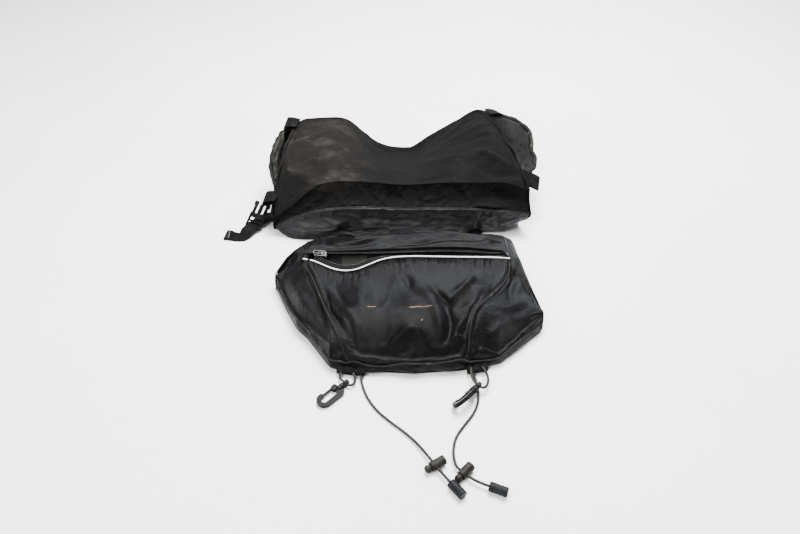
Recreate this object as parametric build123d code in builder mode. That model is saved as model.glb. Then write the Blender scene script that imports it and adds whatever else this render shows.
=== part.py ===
from build123d import *
import math
import os

os.makedirs("parts", exist_ok=True)

# A two-part soft bag. A saddle-shaped bag with an open pocket at each end lies behind,
# and a flat zipped pouch is linked to its front edge by two webbing straps.
# Frame: origin in the middle of the saddle bag's base, X to the right, Y to the rear, Z up.
# All sizes are in millimetres.

# ---------------------------------------------------------------- cloth, webbing and cord
fabric = 3.0            # a padded and lined panel
padding = 6.0           # the padded outer wall of an end pocket
web_width = 25.0
web_thick = 2.0
cord_diameter = 3.5
free_gap = 0.3          # between pieces that move past each other

# ---------------------------------------------------------------- saddle bag
saddle_front_half = 220.0   # half length at the front edge
saddle_rear_half = 184.0    # half length at the rear edge
saddle_depth = 190.0
lobe_height = {-1: 121.0, 1: 131.0}     # rear edge at the top of the left and right lobe
dip_height = 64.0           # rear edge between the lobes
seam_height = 84.0          # the cover's front seam
seam_end_drop = 20.0        # how far that seam falls towards the ends
seam_inset = 26.0           # the seam lies this far behind the front edge of the base
gusset_height = 50.0        # lower edge of the front gusset
bulge = 13.0                # how far the coated lower front swells past the base
bulge_height = 22.0
crown = 9.0                 # how far the cover swells between its seams
rear_lean = 8.0             # how far the lobes lean past the base at the rear
lobe_start = 0.6            # share of the half length where a lobe reaches its full height
saddle_shares = (-1, -0.8, -0.6, -0.3, 0, 0.3, 0.6, 0.8, 1)

# ---------------------------------------------------------------- end pockets and corner tabs
pocket_front = {-1: 66.0, 1: 92.0}      # from the base's front edge, along the end wall
pocket_back = 186.0
pocket_floor = 3.0          # height of the underside
rim_front = 58.0
rim_rear = {-1: 96.0, 1: 103.0}
binding_height = 7.0
binding_lip = 1.0
pocket_flare = {-1: 22.0, 1: 40.0}      # how far the rim stands open, left and right
pocket_steps = (0, 0.15, 0.35, 0.55, 0.75, 0.9, 1)
tab_reach = 20.0
tab_height = 9.0
front_tab_start = {-1: 24.0, 1: 62.0}   # along the end wall
front_tab_height = {-1: 50.0, 1: 62.0}
rear_tab_start = 168.0
rear_tab_height = {-1: 109.0, 1: 116.0}

# ---------------------------------------------------------------- pouch
pouch_y = -150.0            # its rear edge
mouth_left = -132.0         # the zip mouth, along X
mouth_right = 166.0
zip_y = -222.0
zip_height = 58.0
mouth_width = 20.0          # between the two cut edges of the cloth
ridge_y = -239.0            # the piped edge
ridge_height = 62.0
ridge_width = 4.0
band_height = 22.0
crown_inset = 42.0          # the fullest line of the front, behind the bottom edge
rear_height = 34.0
wing_wall = 6.0             # sewn tip of a side wing

# ---------------------------------------------------------------- zip
coil_gap = 6.0
coil_width = 2.4
coil_height = 2.2
tape_thick = 1.0
slider_length = 14.0
slider_width = 13.0
slider_plate = 1.2
slider_start = 12.0         # from the left end of the mouth

# ---------------------------------------------------------------- buckle half
buckle_width = 32.0
buckle_thick = 3.5
buckle_tilt = 40.0
buckle_bar = 3.0
strap_slot = 9.0
strap_level = 8.0           # underside of the strap where it leaves the bag
strap_length = 100.0

# ---------------------------------------------------------------- cord fittings
lock_radius = 6.0
lock_far = 13.5             # from the cord to the closed end
lock_near = 6.0             # from the cord to the button's end
lock_bore = 8.2
lock_end_wall = 2.0
button_travel = 3.0
button_radius = 4.8
button_dome = 5.0
dome_share = 0.7            # radius of the dome's edge, in button radii
cap_radius = 5.9
cap_length = 22.0
hook_length = 48.5          # from the eye's centre to the tip
hook_bow = 10.5             # outer radius of the bow
hook_bar = 5.5
hook_thick = 5.0
peg_radius = 2.0
collar_radius = 4.5
gate_thick = 3.0
rest_gap = 0.1              # hard pieces stand this far clear of the floor


def save(builder, label):
    """Label a finished piece and write it as its own STEP file."""
    builder.part.label = label
    export_step(builder.part, f"parts/{label}.step")


# ================================================================ SADDLE BAG
# Upright planes fan across the bag, because its front edge is longer than its rear edge.
up = Vector(0, 0, 1)
front_y = -saddle_depth / 2
rear_y = saddle_depth / 2


def along_end(share):
    """Unit vector from the front edge to the rear edge, in the plane at this share."""
    run = Vector((saddle_rear_half - saddle_front_half) * share, saddle_depth, 0)
    return run.normalized()


def fan_plane(share):
    along = along_end(share)
    return Plane(origin=(share * saddle_front_half, front_y, 0), x_dir=along, z_dir=along.cross(up))


def saddle_corners(share):
    """Corners of the bag's section, from the base's front edge over the top to its rear edge."""
    depth = saddle_depth / along_end(share).Y
    lobe = math.sin(math.pi / 2 * min(abs(share) / lobe_start, 1)) ** 2
    top = lobe_height[-1 if share < 0 else 1]
    rear = dip_height + (top - dip_height) * lobe
    seam = seam_height - seam_end_drop * share ** 4
    middle = (seam_inset + depth) / 2
    return [
        (0, 0),
        (-bulge, bulge_height),
        (3, gusset_height),
        (seam_inset, seam),
        (middle, (seam + rear) / 2 + crown),
        (depth + rear_lean, rear),
        (depth, 0),
    ]


# For each corner, the way in to the lining, in cloth thicknesses
saddle_inward = [(1, 1), (1, 0.2), (1, -0.3), (0.6, -1), (0, -1), (-1, -1), (-1, 1)]


def lining(corners, inward):
    return [(a + da * fabric, b + db * fabric) for (a, b), (da, db) in zip(corners, inward)]


def sewn_panel(stations, inward, first, last):
    """One panel of cloth, from corner first to corner last of every station's section."""
    with BuildPart() as panel:
        for corner in range(first, last):
            for plane, corners in stations:
                inner = lining(corners, inward)
                start, end = corner % len(corners), (corner + 1) % len(corners)
                with BuildSketch(plane):
                    with BuildLine():
                        Polyline(corners[start], corners[end], inner[end], inner[start], close=True)
                    make_face()
            loft(ruled=True)
    return panel


saddle_stations = [(fan_plane(share), saddle_corners(share)) for share in saddle_shares]
save(sewn_panel(saddle_stations, saddle_inward, 0, 2), "saddle_lower_front")
save(sewn_panel(saddle_stations, saddle_inward, 2, 3), "saddle_front_gusset")
save(sewn_panel(saddle_stations, saddle_inward, 3, 5), "saddle_cover")
save(sewn_panel(saddle_stations, saddle_inward, 5, 6), "saddle_back_panel")
save(sewn_panel(saddle_stations, saddle_inward, 6, 7), "saddle_base_panel")

# A flat board stiffens the base, and a foam wedge fills each lobe.
board_margin = 30.0
board_thick = 2.0
with BuildPart() as base_board:
    with BuildSketch(Plane.XY.offset(fabric)):
        with BuildLine():
            front_corner = (saddle_front_half - board_margin, front_y + board_margin)
            rear_corner = (saddle_rear_half - board_margin, rear_y - board_margin)
            Polyline(
                front_corner,
                rear_corner,
                (-rear_corner[0], rear_corner[1]),
                (-front_corner[0], front_corner[1]),
                close=True,
            )
        make_face()
    extrude(amount=board_thick)
save(base_board, "saddle_base_board")

pad_clear = 12.0            # under the cover
pad_from = 0.42
pad_to = 0.82
pad_foot = fabric + board_thick
with BuildPart() as lobe_pads:
    for side in (-1, 1):
        for share in (side * pad_from, side * pad_to):
            corners = saddle_corners(share)
            with BuildSketch(fan_plane(share)):
                with BuildLine():
                    Polyline(
                        (corners[3][0] + pad_clear, pad_foot),
                        (corners[3][0] + pad_clear, corners[3][1] - pad_clear),
                        (corners[4][0], corners[4][1] - pad_clear),
                        (corners[5][0] - 2 * pad_clear, corners[5][1] - pad_clear),
                        (corners[6][0] - 2 * pad_clear, pad_foot),
                        close=True,
                    )
                make_face()
        loft(ruled=True)
save(lobe_pads, "lobe_pads")

side_names = {-1: "left", 1: "right"}
for side, side_name in side_names.items():
    along = along_end(side)
    outward = along.cross(up) * side
    corner = Vector(side * saddle_front_half, front_y, 0)

    with BuildPart() as end_wall:
        with BuildSketch(fan_plane(side)):
            with BuildLine():
                Polyline(*saddle_corners(side), close=True)
            make_face()
        extrude(amount=fabric * side)
    save(end_wall, f"saddle_end_wall_{side_name}")

    def wall_plane(distance):
        """Upright plane square to the end wall, this far behind the front edge of the base."""
        origin = corner + along * distance + outward * fabric
        return Plane(origin=origin, x_dir=outward, z_dir=outward.cross(up))

    # The pocket is a padded wall and floor sewn to the end wall; its rim stands open.
    pocket_length = pocket_back - pocket_front[side]
    with BuildPart() as pocket:
        for step in pocket_steps:
            swell = math.sin(math.pi * step) ** 0.8
            gape = 2 + pocket_flare[side] * swell
            foot = 2 + pocket_flare[side] * 0.35 * swell
            rim = rim_front + (rim_rear[side] - rim_front) * step
            with BuildSketch(wall_plane(pocket_front[side] + pocket_length * step)):
                with BuildLine():
                    Polyline(
                        (0, pocket_floor),
                        (foot + padding, pocket_floor),
                        (gape + padding, rim),
                        (gape, rim),
                        (foot, pocket_floor + padding),
                        (0, pocket_floor + padding),
                        close=True,
                    )
                make_face()
        loft(ruled=True)
    save(pocket, f"end_pocket_{side_name}")

    with BuildPart() as binding:
        for step in pocket_steps:
            gape = 2 + pocket_flare[side] * math.sin(math.pi * step) ** 0.8
            rim = rim_front + (rim_rear[side] - rim_front) * step
            with BuildSketch(wall_plane(pocket_front[side] + pocket_length * step)):
                with Locations((gape + padding / 2, rim + binding_height / 2)):
                    Rectangle(padding + 2 * binding_lip, binding_height)
        loft(ruled=True)
    save(binding, f"pocket_binding_{side_name}")

    # Each corner has a folded webbing tab, an eye for a lashing strap.
    tab_places = {
        "front": (front_tab_start[side], front_tab_height[side]),
        "rear": (rear_tab_start, rear_tab_height[side]),
    }
    for place, (start, height) in tab_places.items():
        with BuildPart() as tab:
            with BuildSketch(wall_plane(start)):
                straight = tab_reach - tab_height / 2
                with Locations((straight / 2, height)):
                    Rectangle(straight, tab_height)
                with Locations((straight, height)):
                    Circle(tab_height / 2)
                with Locations((straight / 2, height)):
                    Rectangle(straight, tab_height - 2 * web_thick, mode=Mode.SUBTRACT)
                with Locations((straight, height)):
                    Circle(tab_height / 2 - web_thick, mode=Mode.SUBTRACT)
            extrude(amount=-web_width * side)
        save(tab, f"webbing_tab_{place}_{side_name}")

# ---------------------------------------------------------------- buckle strap
# A flat strap leaves the left end low down, turns forwards under the buckle, drops to the
# floor past it, and its hemmed tail turns away from the bag there.
root_start = 43.6           # along the end wall
root_out = 6.23             # out from its inner face
left_along = along_end(-1)
left_outward = up.cross(left_along)
strap_root = Vector(-saddle_front_half, front_y, 0) + left_along * root_start + left_outward * root_out
root_angle = -25.883        # degrees from straight out of the end wall
strap_angle = -70.842
tail_angle = -6.154


def left_heading(degrees):
    """Level unit vector, turned this far from straight out of the left end wall."""
    turn = math.radians(degrees)
    return left_outward * math.cos(turn) + left_along * math.sin(turn)


root_heading = left_heading(root_angle)
strap_heading = left_heading(strap_angle)
tail_heading = left_heading(tail_angle)
root_length = 26.0
level_length = 46.0
drop_run = 8.0
drop_lean = 1.4             # keeps the sloping part as thick as the rest
foot_length = 10.0
tail_length = 34.0
hem_fold = 10.0
strap_turn = strap_root + root_heading * root_length
strap_side = up.cross(strap_heading)
strap_plane = Plane(origin=strap_turn, x_dir=strap_heading, z_dir=strap_heading.cross(up))
drop_end = level_length + drop_run
left_wall = fan_plane(-1).offset(-fabric)
with BuildPart() as buckle_strap:
    with BuildSketch(Plane(origin=strap_root + up * strap_level, x_dir=root_heading, z_dir=up)):
        with Locations((root_length / 2 - web_width / 2, 0)):
            Rectangle(root_length + web_width, web_width)
    extrude(amount=web_thick)
    with BuildSketch(strap_plane):
        with BuildLine():
            Polyline(
                (0, strap_level),
                (level_length - drop_lean, strap_level),
                (drop_end - drop_lean, 0),
                (drop_end + foot_length, 0),
                (drop_end + foot_length, web_thick),
                (drop_end, web_thick),
                (level_length, strap_level + web_thick),
                (0, strap_level + web_thick),
                close=True,
            )
        make_face()
    extrude(amount=web_width / 2, both=True)
    with BuildSketch(Plane.XY.offset(strap_level)):
        with Locations(strap_turn):
            Circle(web_width / 2)
    extrude(amount=web_thick)
    tail_start = strap_turn + strap_heading * (drop_end + foot_length - web_width / 2)
    tail_plane = Plane(origin=tail_start, x_dir=tail_heading, z_dir=up)
    with BuildSketch(tail_plane):
        with Locations((tail_length / 2, 0)):
            Rectangle(tail_length, web_width)
    extrude(amount=web_thick)
    with BuildSketch(tail_plane):
        with Locations((tail_length - hem_fold / 2, 0)):
            Rectangle(hem_fold, web_width)
    extrude(amount=2 * web_thick)
    split(bisect_by=left_wall, keep=Keep.BOTTOM)
save(buckle_strap, "buckle_strap")

# The male half hangs on the strap by its outer slot and stands up at an angle.
buckle_place = 26.0
lift = math.radians(buckle_tilt)
buckle_origin = strap_turn + strap_heading * buckle_place + up * (strap_level + web_thick / 2)
buckle_rise = strap_heading * -math.cos(lift) + up * math.sin(lift)
buckle_plane = Plane(origin=buckle_origin, x_dir=strap_side, z_dir=strap_side.cross(buckle_rise))
slot_width = web_width + 1.5
second_slot = 4.5
shoulder = 9.0
prong = 21.0
arm_width = 4.5
barb_width = 7.0
barb_length = 8.0
bar_outer = -strap_slot / 2 - buckle_bar
frame_top = strap_slot / 2 + buckle_bar + second_slot
arm_foot = frame_top + shoulder
with BuildPart() as buckle:
    with BuildSketch(buckle_plane):
        with Locations((0, (bar_outer + arm_foot) / 2)):
            RectangleRounded(buckle_width, arm_foot - bar_outer, 3)
        Rectangle(slot_width, strap_slot, mode=Mode.SUBTRACT)
        with Locations((0, frame_top - second_slot / 2)):
            Rectangle(slot_width, second_slot, mode=Mode.SUBTRACT)
        with Locations((0, arm_foot + prong * 0.4 - 1)):
            Rectangle(6, prong * 0.8 + 2)
        for side in (-1, 1):
            with Locations((side * (buckle_width / 2 - arm_width), arm_foot + prong / 2 - 1)):
                Rectangle(arm_width, prong + 2)
            with Locations((side * (buckle_width / 2 - barb_width / 2), arm_foot + prong - barb_length / 2)):
                RectangleRounded(barb_width, barb_length, 2)
    extrude(amount=buckle_thick / 2, both=True)
save(buckle, "buckle_male_half")

# A narrow strip hangs from the front left corner, beside the strap.
strip_start = 14.2          # along the end wall
strip_width = 6.0
strip_thick = 2.0
strip_lap = 0.7             # how thick its sewn end is, on the wall's outer face
strip_top = 44.0
strip_foot = 6.0
strip_swing = 11.5          # how far the foot hangs out from the wall
strip_corner = Vector(-saddle_front_half, front_y, 0) + left_along * strip_start
with BuildPart() as corner_strip:
    with BuildSketch(Plane(origin=strip_corner, x_dir=left_outward, z_dir=left_outward.cross(up))):
        with BuildLine():
            Polyline(
                (fabric + strip_lap, strip_top),
                (fabric + strip_swing, strip_foot),
                (fabric + strip_swing - strip_thick, strip_foot),
                (fabric + strip_lap - 2 * strip_thick, strip_top),
                close=True,
            )
        make_face()
    extrude(amount=strip_width)
    split(bisect_by=left_wall, keep=Keep.BOTTOM)
save(corner_strip, "corner_strip")

# ================================================================ POUCH
# Its outline from above is an uneven hexagon: place along X, rear edge, bottom edge, crown.
pouch_outline = {
    "left_tip": (-191.0, -229.0, -245.0, 34.0),
    "left_bend": (-150.0, -158.0, -331.0, 46.0),
    "mouth_left": (mouth_left, pouch_y, -344.0, 52.0),
    "bottom_left": (-96.0, pouch_y, -405.0, 60.0),
    "middle": (20.0, pouch_y, -413.0, 74.0),
    "bottom_right": (138.0, pouch_y, -396.0, 62.0),
    "mouth_right": (mouth_right, pouch_y, -369.0, 54.0),
    "right_bend": (180.0, -158.0, -356.0, 46.0),
    "right_tip": (205.0, -316.0, -332.0, 34.0),
}
tape_edge_front = zip_y - mouth_width / 2
tape_edge_rear = zip_y + mouth_width / 2


def pouch_corners(name):
    """Corners of the pouch's section, from the bottom edge over the front to the rear edge."""
    _, rear, bottom, full = pouch_outline[name]
    if name.endswith("tip"):
        spread = rear - bottom
        top_points = [(bottom + spread * share, full) for share in (0.2, 0.4, 0.5, 0.6, 0.8)]
        return [(bottom, 0), (bottom, band_height), *top_points, (rear, band_height), (rear, 0)]
    return [
        (bottom, 0),
        (bottom, band_height),
        (bottom + crown_inset, full),
        (ridge_y - ridge_width / 2, ridge_height),
        (ridge_y + ridge_width / 2, ridge_height),
        (tape_edge_front, zip_height),
        (tape_edge_rear, zip_height),
        (rear, rear_height),
        (rear, 0),
    ]


pouch_inward = [(1, 1), (1, 0), (0.4, -1), (0, -1), (0, -1), (0, -1), (0, -1), (-1, -1), (-1, 1)]


def pouch_station(name):
    return Plane.YZ.offset(pouch_outline[name][0]), pouch_corners(name)


mouth_names = ("mouth_left", "bottom_left", "middle", "bottom_right", "mouth_right")
pouch_stations = [pouch_station(name) for name in mouth_names]
save(sewn_panel(pouch_stations, pouch_inward, 0, 1), "pouch_bottom_band")
save(sewn_panel(pouch_stations, pouch_inward, 1, 5), "pouch_front_panel")
save(sewn_panel(pouch_stations, pouch_inward, 6, 7), "pouch_top_panel")
save(sewn_panel(pouch_stations, pouch_inward, 7, 8), "pouch_rear_gusset")
save(sewn_panel(pouch_stations, pouch_inward, 8, 9), "pouch_back_panel")

wing_names = {
    "left": ("left_tip", "left_bend", "mouth_left"),
    "right": ("mouth_right", "right_bend", "right_tip"),
}
for side_name, names in wing_names.items():
    with BuildPart() as wing:
        for name in names:
            plane, corners = pouch_station(name)
            with BuildSketch(plane):
                with BuildLine():
                    Polyline(*corners, close=True)
                make_face()
        loft(ruled=True)
        for name in names:
            plane, corners = pouch_station(name)
            if name.endswith("tip"):
                plane = plane.offset(wing_wall if side_name == "left" else -wing_wall)
            with BuildSketch(plane):
                with BuildLine():
                    Polyline(*lining(corners, pouch_inward), close=True)
                make_face()
        loft(ruled=True, mode=Mode.SUBTRACT)
    save(wing, f"pouch_wing_{side_name}")

pouch_board_long = 180.0
pouch_board_deep = 190.0
pouch_board_thick = 1.5
board_y = (pouch_y + pouch_outline["bottom_right"][2]) / 2
with BuildPart() as pouch_board:
    with BuildSketch(Plane.XY.offset(fabric)):
        with Locations(((mouth_left + mouth_right) / 2, board_y)):
            Rectangle(pouch_board_long, pouch_board_deep)
    extrude(amount=pouch_board_thick)
save(pouch_board, "pouch_board")

mouth_length = mouth_right - mouth_left
mouth_middle = (mouth_left + mouth_right) / 2
piping_size = 3.0
with BuildPart() as piping:
    with Locations((mouth_middle, ridge_y, ridge_height + piping_size / 2)):
        Box(mouth_length, piping_size, piping_size)
save(piping, "reflective_piping")

# ---------------------------------------------------------------- zip
coil_level = zip_height - fabric / 2
coil_edge = coil_gap / 2 + coil_width
with BuildPart() as zip_tapes:
    for side in (-1, 1):
        width = mouth_width / 2 - coil_edge
        with Locations((mouth_middle, zip_y + side * (coil_edge + width / 2), coil_level)):
            Box(mouth_length, width, tape_thick)
save(zip_tapes, "zip_tapes")

with BuildPart() as zip_coils:
    for side in (-1, 1):
        with Locations((mouth_middle, zip_y + side * (coil_gap + coil_width) / 2, coil_level)):
            Box(mouth_length, coil_width, coil_height)
save(zip_coils, "zip_coils")

stop_size = 3.0
with BuildPart() as zip_stops:
    for end in (mouth_left + stop_size / 2, mouth_right - stop_size / 2):
        with Locations((end, zip_y, coil_level)):
            Box(stop_size, coil_gap, coil_height)
save(zip_stops, "zip_stops")

slider_x = mouth_left + slider_start
plate_level = coil_height / 2 + free_gap + slider_plate / 2
bridge_height = 5.0
bridge_wire = 1.6
bridge_span = 9.0
with BuildPart() as zip_slider:
    for level in (-plate_level, plate_level):
        with Locations((slider_x, zip_y, coil_level + level)):
            Box(slider_length, slider_width, slider_plate)
    with Locations((slider_x, zip_y, coil_level)):
        Box(4, coil_gap - 4 * free_gap, coil_height + 2 * free_gap)
    plate_top = coil_level + plate_level + slider_plate / 2
    with BuildSketch(Plane.XZ.offset(-zip_y)):
        with Locations((slider_x, plate_top + bridge_height / 2)):
            Rectangle(bridge_span, bridge_height)
        with Locations((slider_x, plate_top + bridge_height / 2 - bridge_wire / 2)):
            Rectangle(bridge_span - 2 * bridge_wire, bridge_height - bridge_wire, mode=Mode.SUBTRACT)
    extrude(amount=bridge_wire / 2, both=True)
save(zip_slider, "zip_slider")

# The pull is a wire ring through the slider's bridge and a flat tab on the ring.
ring_wire = 1.4
ring_inner = 4.4
ring_level = plate_top + bridge_height - bridge_wire - ring_wire / 2 - free_gap
ring_x = slider_x - bridge_span / 2 + bridge_wire + ring_wire / 2 + free_gap
ring_length = 12.0
tab_length = 22.0
tab_width = 8.0
with BuildPart() as zip_ring:
    with BuildSketch(Plane.XY.offset(ring_level)):
        with Locations((ring_x + ring_wire / 2 - ring_length / 2, zip_y)):
            RectangleRounded(ring_length, ring_inner + 2 * ring_wire, 2.6)
            RectangleRounded(ring_length - 2 * ring_wire, ring_inner, 1.6, mode=Mode.SUBTRACT)
    extrude(amount=ring_wire / 2, both=True)
save(zip_ring, "zip_pull_ring")

pull_end = ring_x + ring_wire / 2 - ring_length
with BuildPart() as zip_tab:
    with BuildSketch(Plane.XY.offset(ring_level)):
        with Locations((pull_end - tab_length / 2 - free_gap / 3, zip_y)):
            RectangleRounded(tab_length, tab_width, 2)
            with Locations((-tab_length / 2 + 4, 0)):
                Circle(1.6, mode=Mode.SUBTRACT)
    extrude(amount=1.0, both=True)
save(zip_tab, "zip_pull_tab")

# ================================================================ LINK STRAPS
# Two flat webbing links join the pouch's rear edge to the front edge of the saddle bag.
link_places = {"left": -95.0, "right": 128.0}
link_level = 6.0
link_slope = bulge / bulge_height
for side_name, place in link_places.items():
    with BuildPart() as link:
        with BuildSketch(Plane.YZ.offset(place)):
            with BuildLine():
                Polyline(
                    (pouch_y, link_level),
                    (front_y - link_level * link_slope - 2 * free_gap, link_level),
                    (front_y - (link_level + web_thick) * link_slope - 2 * free_gap, link_level + web_thick),
                    (pouch_y, link_level + web_thick),
                    close=True,
                )
            make_face()
        extrude(amount=web_width / 2, both=True)
    save(link, f"link_strap_{side_name}")

# ================================================================ CORDS
# At each side a webbing tab on the bottom edge grips a short loop, which carries a snap hook,
# and a longer tail with a cord lock on it and a moulded cap on its end.
cord_radius = cord_diameter / 2
cord_floor = cord_radius + 0.15
lock_level = lock_radius + rest_gap
cap_level = lock_level           # a cap is nearly as thick as a lock
loop_level = {"left": 5.0, "right": 10.6}

cord_routes = {
    "bungee_tail_left": [
        (-54, -416.6, 5), (-52, -429, 3), (-47, -446, cord_floor), (-39.5, -462, cord_floor),
        (-29, -477, cord_floor), (-14, -492, cord_floor), (3, -506.5, cord_floor),
        (19.5, -524, 3), (34, -546.5, lock_level), (49.5, -570, lock_level), (59, -582, cap_level),
    ],
    "bungee_tail_right": [
        (100, -410.4, 4.5), (101.5, -421, 3), (104, -438, cord_floor), (103.5, -459, cord_floor),
        (95.5, -480, cord_floor), (81, -499, cord_floor), (69.5, -516, cord_floor),
        (65.5, -532, 2.5), (64.5, -547, 4.5), (67, -561, lock_level), (84, -577, lock_level),
        (95, -583, cap_level), (103.5, -586.5, cap_level),
    ],
    "hook_loop_left": [
        (-80, -415.6, 7), (-83, -422, loop_level["left"]), (-78, -428, loop_level["left"]),
        (-67.5, -438, loop_level["left"]), (-60.5, -433, loop_level["left"]),
        (-60.5, -425, 6), (-63.5, -416.8, 7),
    ],
    "hook_loop_right": [
        (112.5, -408.5, 10), (117, -419, loop_level["right"]), (118.5, -431, loop_level["right"]),
        (115.5, -442, loop_level["right"]), (109, -446.5, loop_level["right"]),
        (99, -436.5, loop_level["right"]), (96, -424, loop_level["right"]), (96.5, -410.5, 10),
    ],
}


def cord_radii(points):
    """The largest arc that each corner's two runs allow."""
    vectors = [Vector(*point) for point in points]
    radii = []
    for before, here, after in zip(vectors, vectors[1:], vectors[2:]):
        turn = math.radians((here - before).get_angle(after - here))
        shorter = min((here - before).length, (after - here).length)
        radii.append(0.45 * shorter / math.tan(turn / 2))
    return radii


for name, points in cord_routes.items():
    radii = cord_radii(points)
    with BuildPart() as cord:
        with BuildLine() as route:
            FilletPolyline(*points, radius=radii)
        with BuildSketch(Plane(origin=route.wire() @ 0, z_dir=route.wire() % 0)):
            Circle(cord_radius)
        sweep()
    save(cord, name)
    expected = math.pi * cord_radius ** 2 * route.wire().length
    print(name, "radii", [round(r, 1) for r in radii])
    print(name, "length", round(route.wire().length, 1), "volume ratio", round(cord.part.volume / expected, 4))

# ---------------------------------------------------------------- tabs that grip the cords
tab_spans = {"left": (-86.0, -48.0), "right": (92.0, 120.0)}
tab_deep = 8.0
tab_tall = 14.0
hem_ends = {"left": ("bottom_left", "middle"), "right": ("middle", "bottom_right")}
for side_name, (start, end) in tab_spans.items():
    first, last = [pouch_outline[name] for name in hem_ends[side_name]]
    slope = (last[2] - first[2]) / (last[0] - first[0])
    hem_start = (start, first[2] + slope * (start - first[0]))
    hem_end = (end, first[2] + slope * (end - first[0]))
    with BuildPart() as cord_tab:
        with BuildSketch(Plane.XY.offset(rest_gap)):
            with BuildLine():
                Polyline(
                    hem_start,
                    hem_end,
                    (hem_end[0], hem_end[1] - tab_deep),
                    (hem_start[0], hem_start[1] - tab_deep),
                    close=True,
                )
            make_face()
        extrude(amount=tab_tall)
    save(cord_tab, f"cord_tab_{side_name}")

# ---------------------------------------------------------------- cord locks and caps
tail_tips = {"left": "bungee_tail_left", "right": "bungee_tail_right"}
lock_runs = {"left": 8, "right": 9}     # the run of the route that passes through the lock
for side_name, tail in tail_tips.items():
    route = [Vector(*point) for point in cord_routes[tail]]
    before = route[lock_runs[side_name]]
    after = route[lock_runs[side_name] + 1]
    run = (after - before).normalized()
    axis = up.cross(run)
    # local X along the barrel away from the button, local Y along the cord
    lock_plane = Plane(origin=(before + after) / 2, x_dir=axis, z_dir=axis.cross(run))
    barrel_plane = Plane(origin=lock_plane.origin, x_dir=run, z_dir=axis)
    cord_plane = Plane(origin=lock_plane.origin, x_dir=axis, z_dir=run)
    stem_radius = lock_bore / 2 - free_gap
    neck = lock_near + button_travel + free_gap
    slot_long = cord_diameter + 2 * free_gap + button_travel
    slot_middle = -button_travel / 2
    stem_end = slot_middle + slot_long / 2 + 2.4

    with BuildPart() as lock_body:
        with BuildSketch(barrel_plane.offset(-lock_near)):
            Circle(lock_radius)
        extrude(amount=lock_near + lock_far)
        fillet(lock_body.edges().filter_by(GeomType.CIRCLE), 0.8)
        with BuildSketch(barrel_plane.offset(-lock_near)):
            Circle(lock_bore / 2)
        extrude(amount=lock_near + lock_far - lock_end_wall, mode=Mode.SUBTRACT)
        with BuildSketch(cord_plane):
            Circle(cord_radius + 0.9)
        extrude(amount=lock_radius + 1, both=True, mode=Mode.SUBTRACT)
    save(lock_body, f"cord_lock_{side_name}")

    with BuildPart() as button:
        with BuildSketch(barrel_plane.offset(-neck)):
            Circle(stem_radius)
        extrude(amount=neck + stem_end)
        with BuildSketch(barrel_plane.offset(-neck)):
            Circle(button_radius)
        extrude(amount=-button_dome)
        round_edges = button.edges().filter_by(GeomType.CIRCLE)
        dome_edge = min(round_edges, key=lambda edge: edge.center().dot(axis))
        fillet(dome_edge, button_radius * dome_share)
        with BuildSketch(cord_plane):
            with Locations((slot_middle, 0)):
                SlotOverall(slot_long, cord_diameter + 2 * free_gap)
        extrude(amount=lock_radius, both=True, mode=Mode.SUBTRACT)
    save(button, f"lock_button_{side_name}")

    spring_length = lock_far - lock_end_wall - stem_end
    spring_wire = 0.35
    spring_turns = 4
    with BuildPart() as spring:
        with BuildLine() as coil:
            Helix(
                pitch=(spring_length - 2 * spring_wire) / spring_turns,
                height=spring_length - 2 * spring_wire,
                radius=2.6,
                center=barrel_plane.origin + axis * (stem_end + spring_wire),
                direction=axis,
            )
        with BuildSketch(Plane(origin=coil.wire() @ 0, z_dir=coil.wire() % 0)):
            Circle(spring_wire)
        sweep()
    save(spring, f"lock_spring_{side_name}")

    with BuildPart() as cap:
        tip = route[-1]
        heading = (route[-1] - route[-2])
        heading = Vector(heading.X, heading.Y, 0).normalized()
        cap_plane = Plane(origin=tip, z_dir=heading)
        with BuildSketch(cap_plane):
            Circle(cap_radius)
        extrude(amount=cap_length)
        fillet(cap.edges().filter_by(GeomType.CIRCLE), 0.9)
        for groove in (0.52, 0.72):
            with BuildSketch(cap_plane.offset(cap_length * groove)):
                Circle(cap_radius)
                Circle(cap_radius - 0.6, mode=Mode.SUBTRACT)
            extrude(amount=1.4, mode=Mode.SUBTRACT)
    save(cap, f"cord_cap_{side_name}")

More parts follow.
